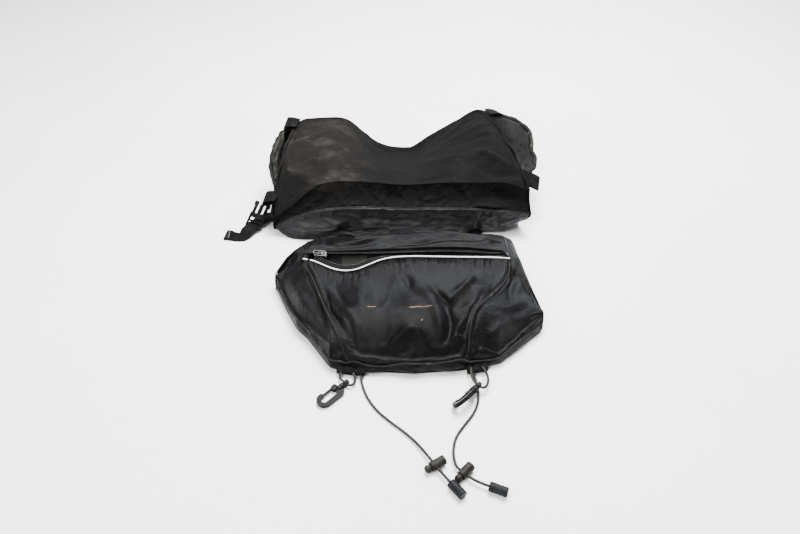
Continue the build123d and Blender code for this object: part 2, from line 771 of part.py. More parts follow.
# ---------------------------------------------------------------- snap hooks
hook_setting = {
    "left": {"loop": "hook_loop_left", "run": 2, "roll": 0.0, "fall": 2.0},
    "right": {"loop": "hook_loop_right", "run": 4, "roll": 50.0, "fall": 0.0},
}
eye_hole = cord_diameter + 1.6
eye_wall = 2.2
eye_thick = 4.0
collar_start = eye_hole / 2 + eye_wall + free_gap
collar_end = 14.0
peg_head = 1.35                         # times the peg's radius
bow_centre = hook_length - hook_bow
pivot_x = 17.5
pivot_y = -7.0
for side_name, setting in hook_setting.items():
    route = [Vector(*point) for point in cord_routes[setting["loop"]]]
    before = route[setting["run"]]
    after = route[setting["run"] + 1]
    through = (after - before).normalized()
    level_axis = through.cross(up)
    if level_axis.X > 0:
        level_axis = level_axis * -1
    fall = math.radians(setting["fall"])
    axis = (level_axis * math.cos(fall) - up * math.sin(fall)).normalized()
    eye_centre = (before + after) / 2
    upright = Plane(origin=eye_centre, x_dir=axis, z_dir=axis.cross(up).normalized())
    roll = math.radians(setting["roll"])
    lean = upright.y_dir * math.cos(roll) + axis.cross(upright.y_dir) * math.sin(roll)
    hook_plane = Plane(origin=eye_centre, x_dir=axis, z_dir=lean)
    peg_plane = Plane(origin=eye_centre, x_dir=upright.y_dir, z_dir=axis)
    print(side_name, "hook axis", axis, "normal", hook_plane.z_dir, "eye", eye_centre)
    print(side_name, "gate pivot", hook_plane.from_local_coords(Vector(pivot_x, pivot_y, 0)))

    with BuildPart() as eye:
        with BuildSketch(upright):
            RectangleRounded(eye_hole + 2 * eye_wall, eye_hole + 2 * eye_wall, 3)
            RectangleRounded(eye_hole, eye_hole, 2, mode=Mode.SUBTRACT)
        extrude(amount=eye_thick / 2, both=True)
        with BuildSketch(peg_plane.offset(eye_hole / 2 + eye_wall / 2)):
            Circle(peg_radius)
        extrude(amount=collar_end + free_gap - eye_hole / 2 - eye_wall / 2)
        with BuildSketch(peg_plane.offset(collar_end + free_gap)):
            Circle(peg_radius * peg_head)
        extrude(amount=1.6)
    save(eye, f"hook_eye_{side_name}")

    with BuildPart() as hook:
        with BuildSketch(peg_plane.offset(collar_start)):
            Circle(collar_radius)
        extrude(amount=collar_end - collar_start)
        with BuildSketch(hook_plane):
            with Locations(((11 + 20) / 2, 0.5)):
                RectangleRounded(9, 2 * hook_bow - 1, 2.5)
            with Locations(((18 + bow_centre) / 2, hook_bow - hook_bar / 2)):
                Rectangle(bow_centre - 18, hook_bar)
            with BuildLine():
                CenterArc((bow_centre, 0), hook_bow, -90, 180)
                Line((bow_centre, hook_bow), (bow_centre, hook_bow - hook_bar))
                CenterArc((bow_centre, 0), hook_bow - hook_bar, -90, 180)
                Line((bow_centre, -hook_bow), (bow_centre, -hook_bow + hook_bar))
            make_face()
            with Locations((bow_centre - 1.9, -hook_bow + hook_bar / 2)):
                Rectangle(3.8, hook_bar)
        extrude(amount=hook_thick / 2, both=True)
        with BuildSketch(peg_plane.offset(collar_start - 1)):
            Circle(peg_radius + free_gap)
        extrude(amount=collar_end - collar_start + 2, mode=Mode.SUBTRACT)
        with BuildSketch(peg_plane.offset(collar_end)):
            Circle(peg_radius * peg_head + free_gap)
        extrude(amount=8, mode=Mode.SUBTRACT)
        with BuildSketch(hook_plane):
            with Locations((pivot_x + 3, pivot_y)):
                Rectangle(11, 6.5)
        extrude(amount=gate_thick / 2 + free_gap, both=True, mode=Mode.SUBTRACT)
        with BuildSketch(hook_plane):
            with Locations((pivot_x, pivot_y)):
                Circle(0.8)
        extrude(amount=hook_thick / 2, both=True)
    save(hook, f"snap_hook_{side_name}")

    with BuildPart() as gate:
        with BuildSketch(hook_plane):
            with Locations((pivot_x, pivot_y)):
                Circle(2.0)
            gate_end = bow_centre - 3.8 - 2 * free_gap
            with Locations(((pivot_x + gate_end) / 2, pivot_y)):
                Rectangle(gate_end - pivot_x, 2.6)
            with Locations((pivot_x, pivot_y)):
                Circle(0.8 + free_gap / 2, mode=Mode.SUBTRACT)
        extrude(amount=gate_thick / 2, both=True)
    save(gate, f"hook_gate_{side_name}")
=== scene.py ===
import math
import random

import bpy
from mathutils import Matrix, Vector, noise


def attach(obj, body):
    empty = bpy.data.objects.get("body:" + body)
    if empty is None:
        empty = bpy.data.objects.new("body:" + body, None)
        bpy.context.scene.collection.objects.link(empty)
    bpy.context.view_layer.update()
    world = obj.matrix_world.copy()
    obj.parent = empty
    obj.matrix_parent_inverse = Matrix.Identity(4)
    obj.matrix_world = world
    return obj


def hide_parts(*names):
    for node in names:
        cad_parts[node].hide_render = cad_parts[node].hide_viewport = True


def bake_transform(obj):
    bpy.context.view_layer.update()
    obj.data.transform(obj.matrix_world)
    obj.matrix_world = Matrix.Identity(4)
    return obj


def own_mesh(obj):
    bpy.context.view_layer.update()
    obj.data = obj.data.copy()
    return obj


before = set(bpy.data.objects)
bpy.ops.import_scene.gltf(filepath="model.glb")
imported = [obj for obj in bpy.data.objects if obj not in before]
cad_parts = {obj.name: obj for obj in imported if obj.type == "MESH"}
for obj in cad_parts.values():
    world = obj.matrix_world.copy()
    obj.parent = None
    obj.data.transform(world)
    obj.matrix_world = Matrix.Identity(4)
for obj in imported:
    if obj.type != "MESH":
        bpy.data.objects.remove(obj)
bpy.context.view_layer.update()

# ---------------------------------------------------------------- CAMERA, FLOOR AND LIGHT
# The bag lies on a pale matt floor under broad, soft light, and the camera stands in front
# of it at arm's length, looking down at forty degrees.
camera_data = bpy.data.cameras.new("camera")
camera_data.lens = 29.25
camera_data.clip_start = 0.01
camera = bpy.data.objects.new("camera", camera_data)
bpy.context.collection.objects.link(camera)
camera.location = (0, -1.0, 0.6843)
camera.rotation_euler = (math.radians(50), 0, 0)
bpy.context.scene.camera = camera


class Signal:
    """A number that varies over a surface; arithmetic on it adds Math nodes."""

    def __init__(self, finish, socket):
        self.finish = finish
        self.socket = socket

    def math(self, operation, first, second=None):
        node = self.finish.node("ShaderNodeMath", {"operation": operation}, {0: first, 1: second})
        return Signal(self.finish, node.outputs[0])

    def __add__(self, other):
        return self.math("ADD", self, other)

    def __sub__(self, other):
        return self.math("SUBTRACT", self, other)

    def __rsub__(self, other):
        return self.math("SUBTRACT", other, self)

    def __mul__(self, other):
        return self.math("MULTIPLY", self, other)

    def __pow__(self, other):
        return self.math("POWER", self, other)

    __radd__ = __add__
    __rmul__ = __mul__

    def sine(self):
        return self.math("SINE", self)

    def absolute(self):
        return self.math("ABSOLUTE", self)

    def rise(self, low, high):
        """0 below low, 1 above high and smooth between."""
        sockets = {"Value": self, "From Min": low, "From Max": high}
        node = self.finish.node("ShaderNodeMapRange", {"interpolation_type": "SMOOTHSTEP"}, sockets)
        return Signal(self.finish, node.outputs[0])


class Finish:
    """One material: its shader, and the nodes that vary over the surface."""

    def __init__(self, name, **sockets):
        self.material = bpy.data.materials.new(name)
        self.material.use_nodes = True
        self.tree = self.material.node_tree
        self.tree.nodes.clear()
        self.output = self.tree.nodes.new("ShaderNodeOutputMaterial")
        self.shader = self.tree.nodes.new("ShaderNodeBsdfPrincipled")
        self.tree.links.new(self.shader.outputs[0], self.output.inputs[0])
        for socket, value in sockets.items():
            socket = socket.replace("_", " ").title().replace("Ior", "IOR")
            self.shader.inputs[socket].default_value = value

    def node(self, kind, settings, sockets):
        node = self.tree.nodes.new(kind)
        for key, value in settings.items():
            setattr(node, key, value)
        for key, value in sockets.items():
            if value is None:
                continue
            if isinstance(value, Signal):
                value = value.socket
            if isinstance(value, bpy.types.NodeSocket):
                self.tree.links.new(value, node.inputs[key])
            else:
                node.inputs[key].default_value = value
        return node

    def place(self, kind="Object", scale=(1, 1, 1), turn=(0, 0, 0)):
        """Coordinates on the piece: Object in metres, or UV in metres of cloth."""
        source = self.node("ShaderNodeTexCoord", {}, {})
        sockets = {0: source.outputs[kind], "Scale": scale, "Rotation": turn}
        mapping = self.node("ShaderNodeMapping", {}, sockets)
        return mapping.outputs[0]

    def axes(self, kind="Object"):
        split = self.node("ShaderNodeSeparateXYZ", {}, {0: self.place(kind)})
        return [Signal(self, socket) for socket in split.outputs]

    def cloud(self, size, detail=3.0, rough=0.55, stretch=(1, 1, 1), turn=(0, 0, 0), kind="Object"):
        """Noise whose patches are about size metres across."""
        sockets = {
            "Vector": self.place(kind, stretch, turn),
            "Scale": 1 / size,
            "Detail": detail,
            "Roughness": rough,
        }
        return Signal(self, self.node("ShaderNodeTexNoise", {}, sockets).outputs[0])

    def weave(self, pitch):
        """Over-and-under threads, pitch metres apart, along the cloth's own directions."""
        along, across, _ = self.axes("UV")
        turns = 2 * math.pi / pitch
        return (along * turns).sine() * (across * turns).sine()

    def mix(self, factor, first, second):
        """Colours, as three numbers or a socket, by a factor."""
        colours = []
        for colour in (first, second):
            colours.append(colour if isinstance(colour, bpy.types.NodeSocket) else (*colour, 1))
        sockets = {"Factor": factor, 6: colours[0], 7: colours[1]}
        return self.node("ShaderNodeMix", {"data_type": "RGBA"}, sockets).outputs[2]

    def feed(self, socket, value):
        if isinstance(value, Signal):
            value = value.socket
        self.tree.links.new(value, self.shader.inputs[socket])

    def bump(self, *layers):
        """Layers of (height signal, metres of relief)."""
        normal = None
        for height, relief in layers:
            sockets = {"Height": height, "Distance": relief, "Normal": normal}
            normal = self.node("ShaderNodeBump", {}, sockets).outputs[0]
        self.feed("Normal", normal)


def deselect():
    bpy.ops.object.select_all(action="DESELECT")


def wear(piece, finish):
    """Give a piece one finish all over."""
    piece.data.materials.clear()
    piece.data.materials.append(finish.material)


floor_finish = Finish("pale_floor", roughness=0.75)
floor_dirt = floor_finish.cloud(0.004, 4).rise(0.66, 0.8) * floor_finish.cloud(0.09, 3).rise(0.42, 0.66)
floor_wash = floor_finish.cloud(0.35, 3).rise(0.35, 0.7)
floor_tone = floor_finish.mix(floor_wash, (0.93, 0.93, 0.935), (0.89, 0.895, 0.905))
floor_finish.feed("Base Color", floor_finish.mix(floor_dirt * 0.45, floor_tone, (0.45, 0.43, 0.41)))
floor_finish.bump((floor_finish.cloud(0.012, 4), 0.0006))

deselect()
bpy.ops.mesh.primitive_plane_add(size=8, location=(0, 0, -0.0003))
floor = bpy.context.object
floor.name = "floor"
wear(floor, floor_finish)

lights = {
    # place, size, watts, colour
    "overhead": ((0.25, 0.45, 1.9), 1.3, 205, (0.97, 0.985, 1)),
    "back": ((0.9, 1.9, 1.1), 0.8, 30, (0.86, 0.92, 1)),
    "front": ((-0.9, -1.4, 1.9), 1.2, 72, (1, 0.985, 0.96)),
}
for light_name, (place, size, power, colour) in lights.items():
    light_data = bpy.data.lights.new(light_name, "AREA")
    light_data.size = size
    light_data.energy = power
    light_data.color = colour
    light = bpy.data.objects.new(light_name, light_data)
    light.location = place
    bpy.context.collection.objects.link(light)
    aim = Vector((0, -0.15, 0)) - Vector(place)
    light.rotation_euler = aim.to_track_quat("-Z", "Y").to_euler()

world = bpy.data.worlds.new("studio")
world.use_nodes = True
world.node_tree.nodes["Background"].inputs[0].default_value = (0.95, 0.97, 1, 1)
world.node_tree.nodes["Background"].inputs[1].default_value = 0.42
bpy.context.scene.world = world

# ---------------------------------------------------------------- ELASTIC CORDS
# Four pieces of 3.5 mm elastic cord with a braided sheath: two short loops that carry the
# snap hooks, and two tails with a spring lock and a moulded cap. Webbing tabs grip them.
cord_diameter = 0.0035
cord_lie = 0.0019
lock_rise = 0.0061
cord_points = {
    "bungee_tail_left": [
        (-0.054, -0.4166, 0.005), (-0.052, -0.429, 0.003), (-0.047, -0.446, cord_lie),
        (-0.0395, -0.462, cord_lie), (-0.029, -0.477, cord_lie), (-0.014, -0.492, cord_lie),
        (0.003, -0.5065, cord_lie), (0.0195, -0.524, 0.003), (0.034, -0.5465, lock_rise),
        (0.0495, -0.570, lock_rise), (0.059, -0.582, lock_rise),
    ],
    "bungee_tail_right": [
        (0.100, -0.4104, 0.0045), (0.1015, -0.421, 0.003), (0.104, -0.438, cord_lie),
        (0.1035, -0.459, cord_lie), (0.0955, -0.480, cord_lie), (0.081, -0.499, cord_lie),
        (0.0695, -0.516, cord_lie), (0.0655, -0.532, 0.0025), (0.0645, -0.547, 0.0045),
        (0.067, -0.561, lock_rise), (0.0712, -0.565, lock_rise), (0.084, -0.577, lock_rise),
        (0.095, -0.583, lock_rise),
        (0.1035, -0.5865, lock_rise),
    ],
    "hook_loop_left": [
        (-0.080, -0.4156, 0.007), (-0.083, -0.422, 0.005), (-0.078, -0.428, 0.005),
        (-0.0675, -0.438, 0.005), (-0.0605, -0.433, 0.005), (-0.0605, -0.425, 0.006),
        (-0.0635, -0.4168, 0.007),
    ],
    "hook_loop_right": [
        (0.1125, -0.4085, 0.010), (0.117, -0.419, 0.0106), (0.1185, -0.431, 0.0106),
        (0.1155, -0.442, 0.0106), (0.109, -0.4465, 0.0106), (0.099, -0.4365, 0.0106),
        (0.096, -0.424, 0.0106), (0.0965, -0.4105, 0.010),
    ],
}

cord_finish = Finish("braided_elastic", roughness=0.55, specular_ior_level=0.2)
braid = cord_finish.cloud(0.0011, 2)
cord_wear = cord_finish.cloud(0.02, 3).rise(0.45, 0.7)
cord_tone = cord_finish.mix(braid.rise(0.4, 0.62), (0.0065, 0.0055, 0.0047), (0.024, 0.0195, 0.0155))
cord_finish.feed("Base Color", cord_finish.mix(cord_wear * 0.3, cord_tone, (0.042, 0.035, 0.028)))
cord_finish.bump((braid, 0.0005))


def nurbs(name, points, radius, sides=5):
    """A round line on one smooth spline, with these points as its control points."""
    data = bpy.data.curves.new(name, "CURVE")
    data.dimensions = "3D"
    data.bevel_depth = radius
    data.bevel_resolution = sides
    data.resolution_u = 8
    data.use_fill_caps = True
    spline = data.splines.new("NURBS")
    spline.points.add(len(points) - 1)
    for point, place in zip(spline.points, points):
        point.co = (*place, 1)
    spline.order_u = 3
    spline.use_endpoint_u = True
    piece = bpy.data.objects.new(name, data)
    bpy.context.collection.objects.link(piece)
    return piece


cord_pieces = {}
for cord_name, points in cord_points.items():
    cord_pieces[cord_name] = nurbs(cord_name + "_cord", points, cord_diameter / 2)
    wear(cord_pieces[cord_name], cord_finish)
    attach(cord_pieces[cord_name], "pouch")
    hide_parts(cord_name)

for side in ("left", "right"):
    on_tail = [f"cord_lock_{side}", f"lock_button_{side}", f"lock_spring_{side}", f"cord_cap_{side}"]
    on_loop = [f"hook_eye_{side}", f"snap_hook_{side}", f"hook_gate_{side}"]
    for kind, far_end, carried in (("bungee_tail", "fitting", on_tail), ("hook_loop", "object", on_loop)):
        cord_name = f"{kind}_{side}"
        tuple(cord_points[cord_name][0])
        [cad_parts[node] for node in carried]

# ---------------------------------------------------------------- SADDLE BAG SHELL
# A soft shell sewn from panels: a coated lower front and base, a woven front gusset, and a
# woven cover drawn up into two padded lobes. It sags between them and creases at the seams.
saddle_front_half = 0.220
saddle_rear_half = 0.184
saddle_front = -0.095
saddle_rear = 0.095
cloth_thick = 0.0016

# Share of the half length from left to right, with what is measured there.
rear_heights = [
    (-1, 0.119), (-0.86, 0.122), (-0.62, 0.1245), (-0.5, 0.117), (-0.36, 0.092), (-0.22, 0.073),
    (-0.06, 0.065), (0.10, 0.063), (0.16, 0.068), (0.28, 0.084), (0.46, 0.104), (0.62, 0.120),
    (0.74, 0.134), (0.84, 0.139), (1, 0.135),
]
seam_heights = [
    (-1, 0.032), (-0.86, 0.050), (-0.68, 0.080), (-0.52, 0.090), (-0.25, 0.088), (0.05, 0.083),
    (0.35, 0.087), (0.62, 0.087), (0.85, 0.088), (1, 0.082),
]
seam_insets = [
    (-1, 0.002), (-0.8, 0.014), (-0.6, 0.026), (0, 0.028), (0.6, 0.028), (0.85, 0.026), (1, 0.018),
]
gusset_heights = [
    (-1, 0.016), (-0.84, 0.034), (-0.62, 0.050), (-0.3, 0.056), (0, 0.053), (0.3, 0.054),
    (0.6, 0.052), (0.85, 0.047), (1, 0.042),
]


base_fronts = [
    # how far the base stands out in front of its straight edge
    (-1, -0.016), (-0.93, 0.006), (-0.82, 0.016), (-0.6, 0.017), (-0.2, 0.009), (0.3, 0.002),
    (0.7, -0.006), (0.88, -0.015), (1, -0.034),
]


def along(table, place):
    """Smooth value between the entries of a table."""
    last = len(table) - 1
    index = 0
    while index < last - 1 and place > table[index + 1][0]:
        index += 1
    before, after = table[index], table[index + 1]
    low = table[max(index - 1, 0)]
    high = table[min(index + 2, last)]
    span = after[0] - before[0]
    step = min(max((place - before[0]) / span, 0), 1)
    slope_in = (after[1] - low[1]) / (after[0] - low[0]) * span
    slope_out = (high[1] - before[1]) / (high[0] - before[0]) * span
    square, cube = step * step, step ** 3
    return (
        (2 * cube - 3 * square + 1) * before[1]
        + (cube - 2 * square + step) * slope_in
        + (3 * square - 2 * cube) * after[1]
        + (cube - square) * slope_out
    )


def hump(value, middle, width):
    """1 at the middle, falling smoothly to 0 some widths away."""
    return math.exp(-((value - middle) / width) ** 2)


def creases(place, lines):
    """Height of the folds near a place: each is (from, to, width, height), fading at its ends."""
    height = 0.0
    x, y = place
    for start, end, width, rise in lines:
        run = (end[0] - start[0], end[1] - start[1])
        length = math.hypot(*run)
        share = ((x - start[0]) * run[0] + (y - start[1]) * run[1]) / length ** 2
        if not -0.25 < share < 1.25:
            continue
        off = ((x - start[0]) * run[1] - (y - start[1]) * run[0]) / length
        off += 0.0035 * math.sin(share * 5 + start[0] * 90)
        if abs(off) > 3 * width:
            continue
        fade = hump(share, 0.5, 0.52) ** 1.5
        height += rise * fade * math.exp(-(off / width) ** 2)
    return height


def crumple(place, size, depth, seed):
    """Soft random dents and small creases, the same each run."""
    point = Vector(place) / size + Vector((seed, seed * 0.7, -seed))
    ridge = 1 - abs(noise.noise(point)) * 2
    fine = 1 - abs(noise.noise(point * 2.3)) * 2
    return depth * (ridge ** 3 - 0.3 + 0.4 * (fine ** 3 - 0.3))


def saddle_spot(share, run, height):
    """World point on the bag's section at a share of its half length."""
    round_end = 0.008 * max(abs(share) - 0.8, 0) / 0.2 * max(1 - height / 0.04, 0)
    share -= math.copysign(round_end / saddle_front_half, share)
    end_taper = (saddle_rear_half - saddle_front_half) * share
    heading = Vector((end_taper, saddle_rear - saddle_front, 0)).normalized()
    lean = -0.020 * max(share, 0) ** 3 * min(max(height / 0.12, 0), 1) * min(max(run / 0.15, 0), 1)
    swell = 0.006 * max(-share, 0) ** 3 * min(max(run / 0.12, 0), 1)
    return Vector((share * saddle_front_half + lean - swell, saddle_front, height)) + heading * run


saddle_depth = saddle_rear - saddle_front


def cover_spot(u, v):
    share = 2 * u - 1
    seam = along(seam_heights, share)
    inset = along(seam_insets, share)
    rear = along(rear_heights, share)
    rear_run = saddle_depth + 0.006
    # fuller towards the rear, and rolled over at the rear edge
    rise = v + 0.10 * math.sin(math.pi * v)
    full = 0.012 * math.sin(math.pi * v ** 0.8) * (0.55 + 0.45 * min(abs(share) / 0.5, 1))
    valley = -0.007 * hump(share, 0.05, 0.28) * hump(v, 0.75, 0.3)
    height = seam + (rear - seam) * min(rise, 1.02) + full + valley
    height -= 0.002 * max(0, (v - 0.93) / 0.07) ** 2
    height -= 0.007 * max(0, abs(share) - 0.93) / 0.07 * (1 - 0.5 * v)
    spot = saddle_spot(share, inset + (rear_run - inset) * v, height)
    folds = [
        ((-0.125, -0.075), (-0.20, -0.030), 0.008, 0.006),
        ((-0.120, -0.058), (-0.188, 0.004), 0.010, -0.005),
        ((-0.195, 0.030), (-0.105, 0.060), 0.008, 0.004),
        ((-0.190, 0.012), (-0.090, 0.030), 0.009, -0.004),
        ((-0.090, -0.060), (-0.045, 0.075), 0.012, -0.004),
        ((0.060, 0.070), (0.150, 0.085), 0.005, 0.0035),
        ((0.045, 0.045), (0.165, 0.050), 0.006, 0.0032),
        ((0.050, 0.028), (0.175, 0.018), 0.006, -0.0035),
        ((0.030, 0.005), (0.180, -0.020), 0.008, 0.0035),
        ((0.205, -0.045), (0.120, -0.005), 0.007, 0.006),
        ((0.200, -0.058), (0.130, -0.040), 0.006, -0.006),
        ((0.204, -0.050), (0.182, 0.030), 0.006, 0.004),
        ((-0.030, -0.060), (0.110, -0.052), 0.006, -0.003),
    ]
    edge = min(v / 0.06, 1) * min((1 - abs(share)) / 0.05, 1)
    spot.z += creases((spot.x, spot.y), folds) * min(edge + 0.25, 1)
    dents = crumple((spot.x, spot.y * 1.2, spot.z), 0.075, 0.0016, 3.1)
    dents += crumple((spot.x * 0.8, spot.y * 1.8, spot.z), 0.022, 0.0004, 8.4)
    spot.z += dents * edge
    return spot


def gusset_spot(u, v):
    share = 2 * u - 1
    low = along(gusset_heights, share)
    top = along(seam_heights, share)
    inset = along(seam_insets, share)
    height = low + (top - low) * v
    run = 0.002 + (inset - 0.002) * v ** 1.3
    run += 0.006 * math.sin(math.pi * v)
    spot = saddle_spot(share, run, height)
    folds = [
        ((-0.205, 0.020), (-0.135, 0.075), 0.007, 0.009),
        ((-0.185, 0.022), (-0.120, 0.062), 0.006, -0.008),
        ((-0.110, 0.060), (-0.030, 0.066), 0.006, 0.004),
        ((-0.040, 0.078), (0.010, 0.060), 0.005, -0.004),
        ((0.020, 0.064), (0.085, 0.074), 0.005, 0.005),
        ((0.070, 0.080), (0.130, 0.062), 0.005, -0.005),
        ((0.110, 0.066), (0.200, 0.052), 0.006, 0.009),
        ((0.140, 0.072), (0.212, 0.060), 0.006, -0.009),
    ]
    edge = min(v / 0.12, 1) * min((1 - v) / 0.12, 1)
    spot.y -= creases((spot.x, spot.z), folds) * min(edge, 1)
    spot.y -= crumple((spot.x, spot.y, spot.z * 2), 0.030, 0.0026, 5.7) * edge
    return spot


def lower_spot(u, v):
    share = 2 * u - 1
    top = along(gusset_heights, share)
    height = 0.0012 + (top - 0.0012) * v
    out = 0.012 * math.sin(math.pi * min(v * 0.9 + 0.05, 1)) ** 0.8 * (1 - 0.5 * abs(share) ** 6)
    run = 0.004 - 0.002 * v - out - along(base_fronts, share) * (1 - v) ** 1.2
    spot = saddle_spot(share, run, height)
    folds = [
        ((-0.190, 0.022), (-0.090, 0.034), 0.006, 0.006),
        ((-0.165, 0.010), (-0.060, 0.020), 0.005, -0.005),
        ((-0.080, 0.030), (0.020, 0.024), 0.006, 0.004),
        ((-0.020, 0.040), (0.090, 0.034), 0.005, -0.005),
        ((0.000, 0.014), (0.120, 0.026), 0.006, 0.005),
        ((0.135, 0.010), (0.137, 0.046), 0.004, -0.006),
        ((0.150, 0.036), (0.205, 0.026), 0.006, 0.005),
    ]
    edge = min(v / 0.15, 1) * min((1 - v) / 0.15, 1)
    spot.y -= creases((spot.x, spot.z), folds) * min(edge, 1)
    spot.y -= crumple((spot.x * 0.6, spot.y, spot.z * 2.2), 0.034, 0.0032, 1.9) * edge
    return spot


def back_spot(u, v):
    share = 2 * u - 1
    rear = along(rear_heights, share) - 0.006
    height = rear + (0.0012 - rear) * v
    run = saddle_depth + 0.006 * (1 - v) + 0.004 * math.sin(math.pi * v)
    spot = saddle_spot(share, run, height)
    edge = min(v / 0.1, 1) * min((1 - v) / 0.1, 1)
    spot.y += crumple((spot.x, spot.y, spot.z * 1.6), 0.045, 0.0035, 6.6) * edge
    spot.y += crumple((spot.x, spot.y, spot.z), 0.016, 0.0009, 2.6) * edge
    return spot


def base_spot(u, v):
    return back_spot(u, 1).lerp(lower_spot(u, 0), v)


def sag(piece, slack, held, cap):
    """Cloth with this much slack settles between its held seams, moving no further than cap."""
    start = [vertex.co.copy() for vertex in piece.data.vertices]
    seams = piece.vertex_groups.new(name="held")
    for vertex in piece.data.vertices:
        seams.add([vertex.index], held(vertex.co, vertex.index), "REPLACE")
    cloth = piece.modifiers.new("sag", "CLOTH")
    settings = cloth.settings
    settings.quality = 4
    settings.mass = 0.12
    settings.tension_stiffness = 25
    settings.compression_stiffness = 25
    settings.shear_stiffness = 12
    settings.bending_stiffness = 0.35
    settings.vertex_group_mass = "held"
    settings.shrink_min = -slack
    settings.effector_weights.gravity = 0.35
    cloth.collision_settings.use_collision = False
    for moment in range(1, 17):
        bpy.context.scene.frame_set(moment)
    bpy.ops.object.modifier_apply(modifier="sag")
    bpy.context.scene.frame_set(1)
    for vertex, before in zip(piece.data.vertices, start):
        move = vertex.co - before
        if move.length > cap:
            move *= cap / move.length
        vertex.co = before + move
    piece.vertex_groups.clear()


def rim_held(columns, rows, also=None):
    """Holds a panel along its edges, and along any seam that also gives a weight for."""

    def held(place, index):
        column, row = index % (columns + 1), index // (columns + 1)
        near = min(column, columns - column, row, rows - row)
        weight = 1.0 if near == 0 else max(0.0, 0.6 - 0.2 * near)
        return max(weight, also(place) if also else 0.0)

    return held


def cloth_sheet(name, columns, rows, spot, size, thick=cloth_thick, flip=False, slack=0.0, also=None):
    """A panel of cloth, size metres along and across, laid on the points that spot gives."""
    deselect()
    bpy.ops.mesh.primitive_grid_add(x_subdivisions=columns, y_subdivisions=rows, size=2)
    piece = bpy.context.object
    piece.name = name
    piece.data.name = name
    for loop_uv in piece.data.uv_layers[0].data:
        loop_uv.uv = (loop_uv.uv[0] * size[0], loop_uv.uv[1] * size[1])
    for vertex in piece.data.vertices:
        vertex.co = spot((vertex.co.x + 1) / 2, (vertex.co.y + 1) / 2)
    if flip:
        bpy.ops.object.mode_set(mode="EDIT")
        bpy.ops.mesh.select_all(action="SELECT")
        bpy.ops.mesh.flip_normals()
        bpy.ops.object.mode_set(mode="OBJECT")
    bpy.ops.object.shade_smooth()
    if slack:
        sag(piece, slack, rim_held(columns, rows, also), 0.0045)
    if thick:
        solid = piece.modifiers.new("cloth", "SOLIDIFY")
        solid.thickness = thick
        solid.offset = -1
        bpy.ops.object.modifier_apply(modifier="cloth")
    return piece


def settle(piece, body, slot_name, finish, *nodes):
    """A finished piece rides on its body, stands for its plain solids and has its finish."""
    wear(piece, finish)
    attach(piece, body)
    if nodes:
        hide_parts(*nodes)


# Woven cloth, dusty where it has been rubbed.
woven = Finish("dusty_woven_cloth", roughness=0.95, specular_ior_level=0.06)
threads = woven.weave(0.0011)
x_place, _, z_place = woven.axes()
dust = woven.cloud(0.060, 5, 0.62, stretch=(1, 1.9, 1)).rise(0.46, 0.74)
rub_streaks = woven.cloud(0.016, 4, 0.6, stretch=(0.45, 1.6, 1), turn=(0, 0, 0.35)).rise(0.52, 0.78)
left_lobe = (x_place * -1).rise(0.02, 0.12)
high_part = z_place.rise(0.065, 0.1)
specks = woven.cloud(0.0022, 2).rise(0.70, 0.76)
dark_thread = woven.mix(threads.rise(-0.4, 0.7), (0.0034, 0.0033, 0.0033), (0.0080, 0.0078, 0.0076))
film = woven.mix(left_lobe * high_part * 0.12, dark_thread, (0.050, 0.044, 0.037))
dusted = woven.mix(dust * (left_lobe * 0.26 + 0.06) * high_part, film, (0.070, 0.062, 0.052))
streaked = woven.mix(rub_streaks * dust * left_lobe * high_part * 0.5, dusted, (0.13, 0.118, 0.102))
woven.feed("Base Color", woven.mix(specks * 0.25, streaked, (0.22, 0.20, 0.18)))
woven.bump((threads, 0.00018), (woven.cloud(0.006, 4), 0.0006))


def coated_nylon(name, shine, deep, bright, hazed):
    """Coated nylon: nearly black, with a soft shine that breaks up where it is rubbed."""
    finish = Finish(name, roughness=0.42, specular_ior_level=shine)
    rubbed = finish.cloud(0.045, 4, 0.6).rise(0.38, 0.72)
    haze = finish.cloud(0.009, 4, 0.6).rise(0.5, 0.8)
    tone = finish.mix(haze * rubbed * 0.25, finish.mix(rubbed, deep, bright), hazed)
    grains = finish.cloud(0.0018, 2).rise(0.71, 0.77)
    finish.feed("Base Color", finish.mix(grains * 0.35, tone, (0.12, 0.115, 0.11)))
    finish.feed("Roughness", rubbed * 0.12 + haze * 0.10 + 0.30)
    relief = (
        (finish.weave(0.0009), 0.00006),
        (finish.cloud(0.012, 4, 0.6), 0.0009),
        (finish.cloud(0.004, 3), 0.0003),
    )
    finish.bump(*relief)
    return finish


coated = coated_nylon(
    "coated_nylon", 0.075, (0.0021, 0.0021, 0.0023), (0.0050, 0.0051, 0.0056), (0.016, 0.017, 0.019)
)
# The saddle bag's lower front takes a copy of the coated nylon with more specular shine, and with base
# colours a little lighter and bluer than the plain one: a painted bluish sheen.
glossy_painted_sheen_nylon = coated_nylon(
    "coated_nylon_glossy_painted_sheen", 0.21, (0.0025, 0.0026, 0.0031), (0.0060, 0.0063, 0.0075), (0.02, 0.021, 0.026)
)

cover = cloth_sheet("saddle_cover_cloth", 170, 84, cover_spot, (0.42, 0.22), slack=0.012)
settle(cover, "saddle_bag", "woven_cover", woven, "saddle_cover")
gusset = cloth_sheet("saddle_front_gusset_cloth", 170, 26, gusset_spot, (0.44, 0.05), slack=0.03)
settle(gusset, "saddle_bag", "woven_cover", woven, "saddle_front_gusset")
lower_front = cloth_sheet("saddle_lower_front_cloth", 170, 30, lower_spot, (0.44, 0.06), slack=0.03)
settle(lower_front, "saddle_bag", "coated_cloth", glossy_painted_sheen_nylon, "saddle_lower_front")
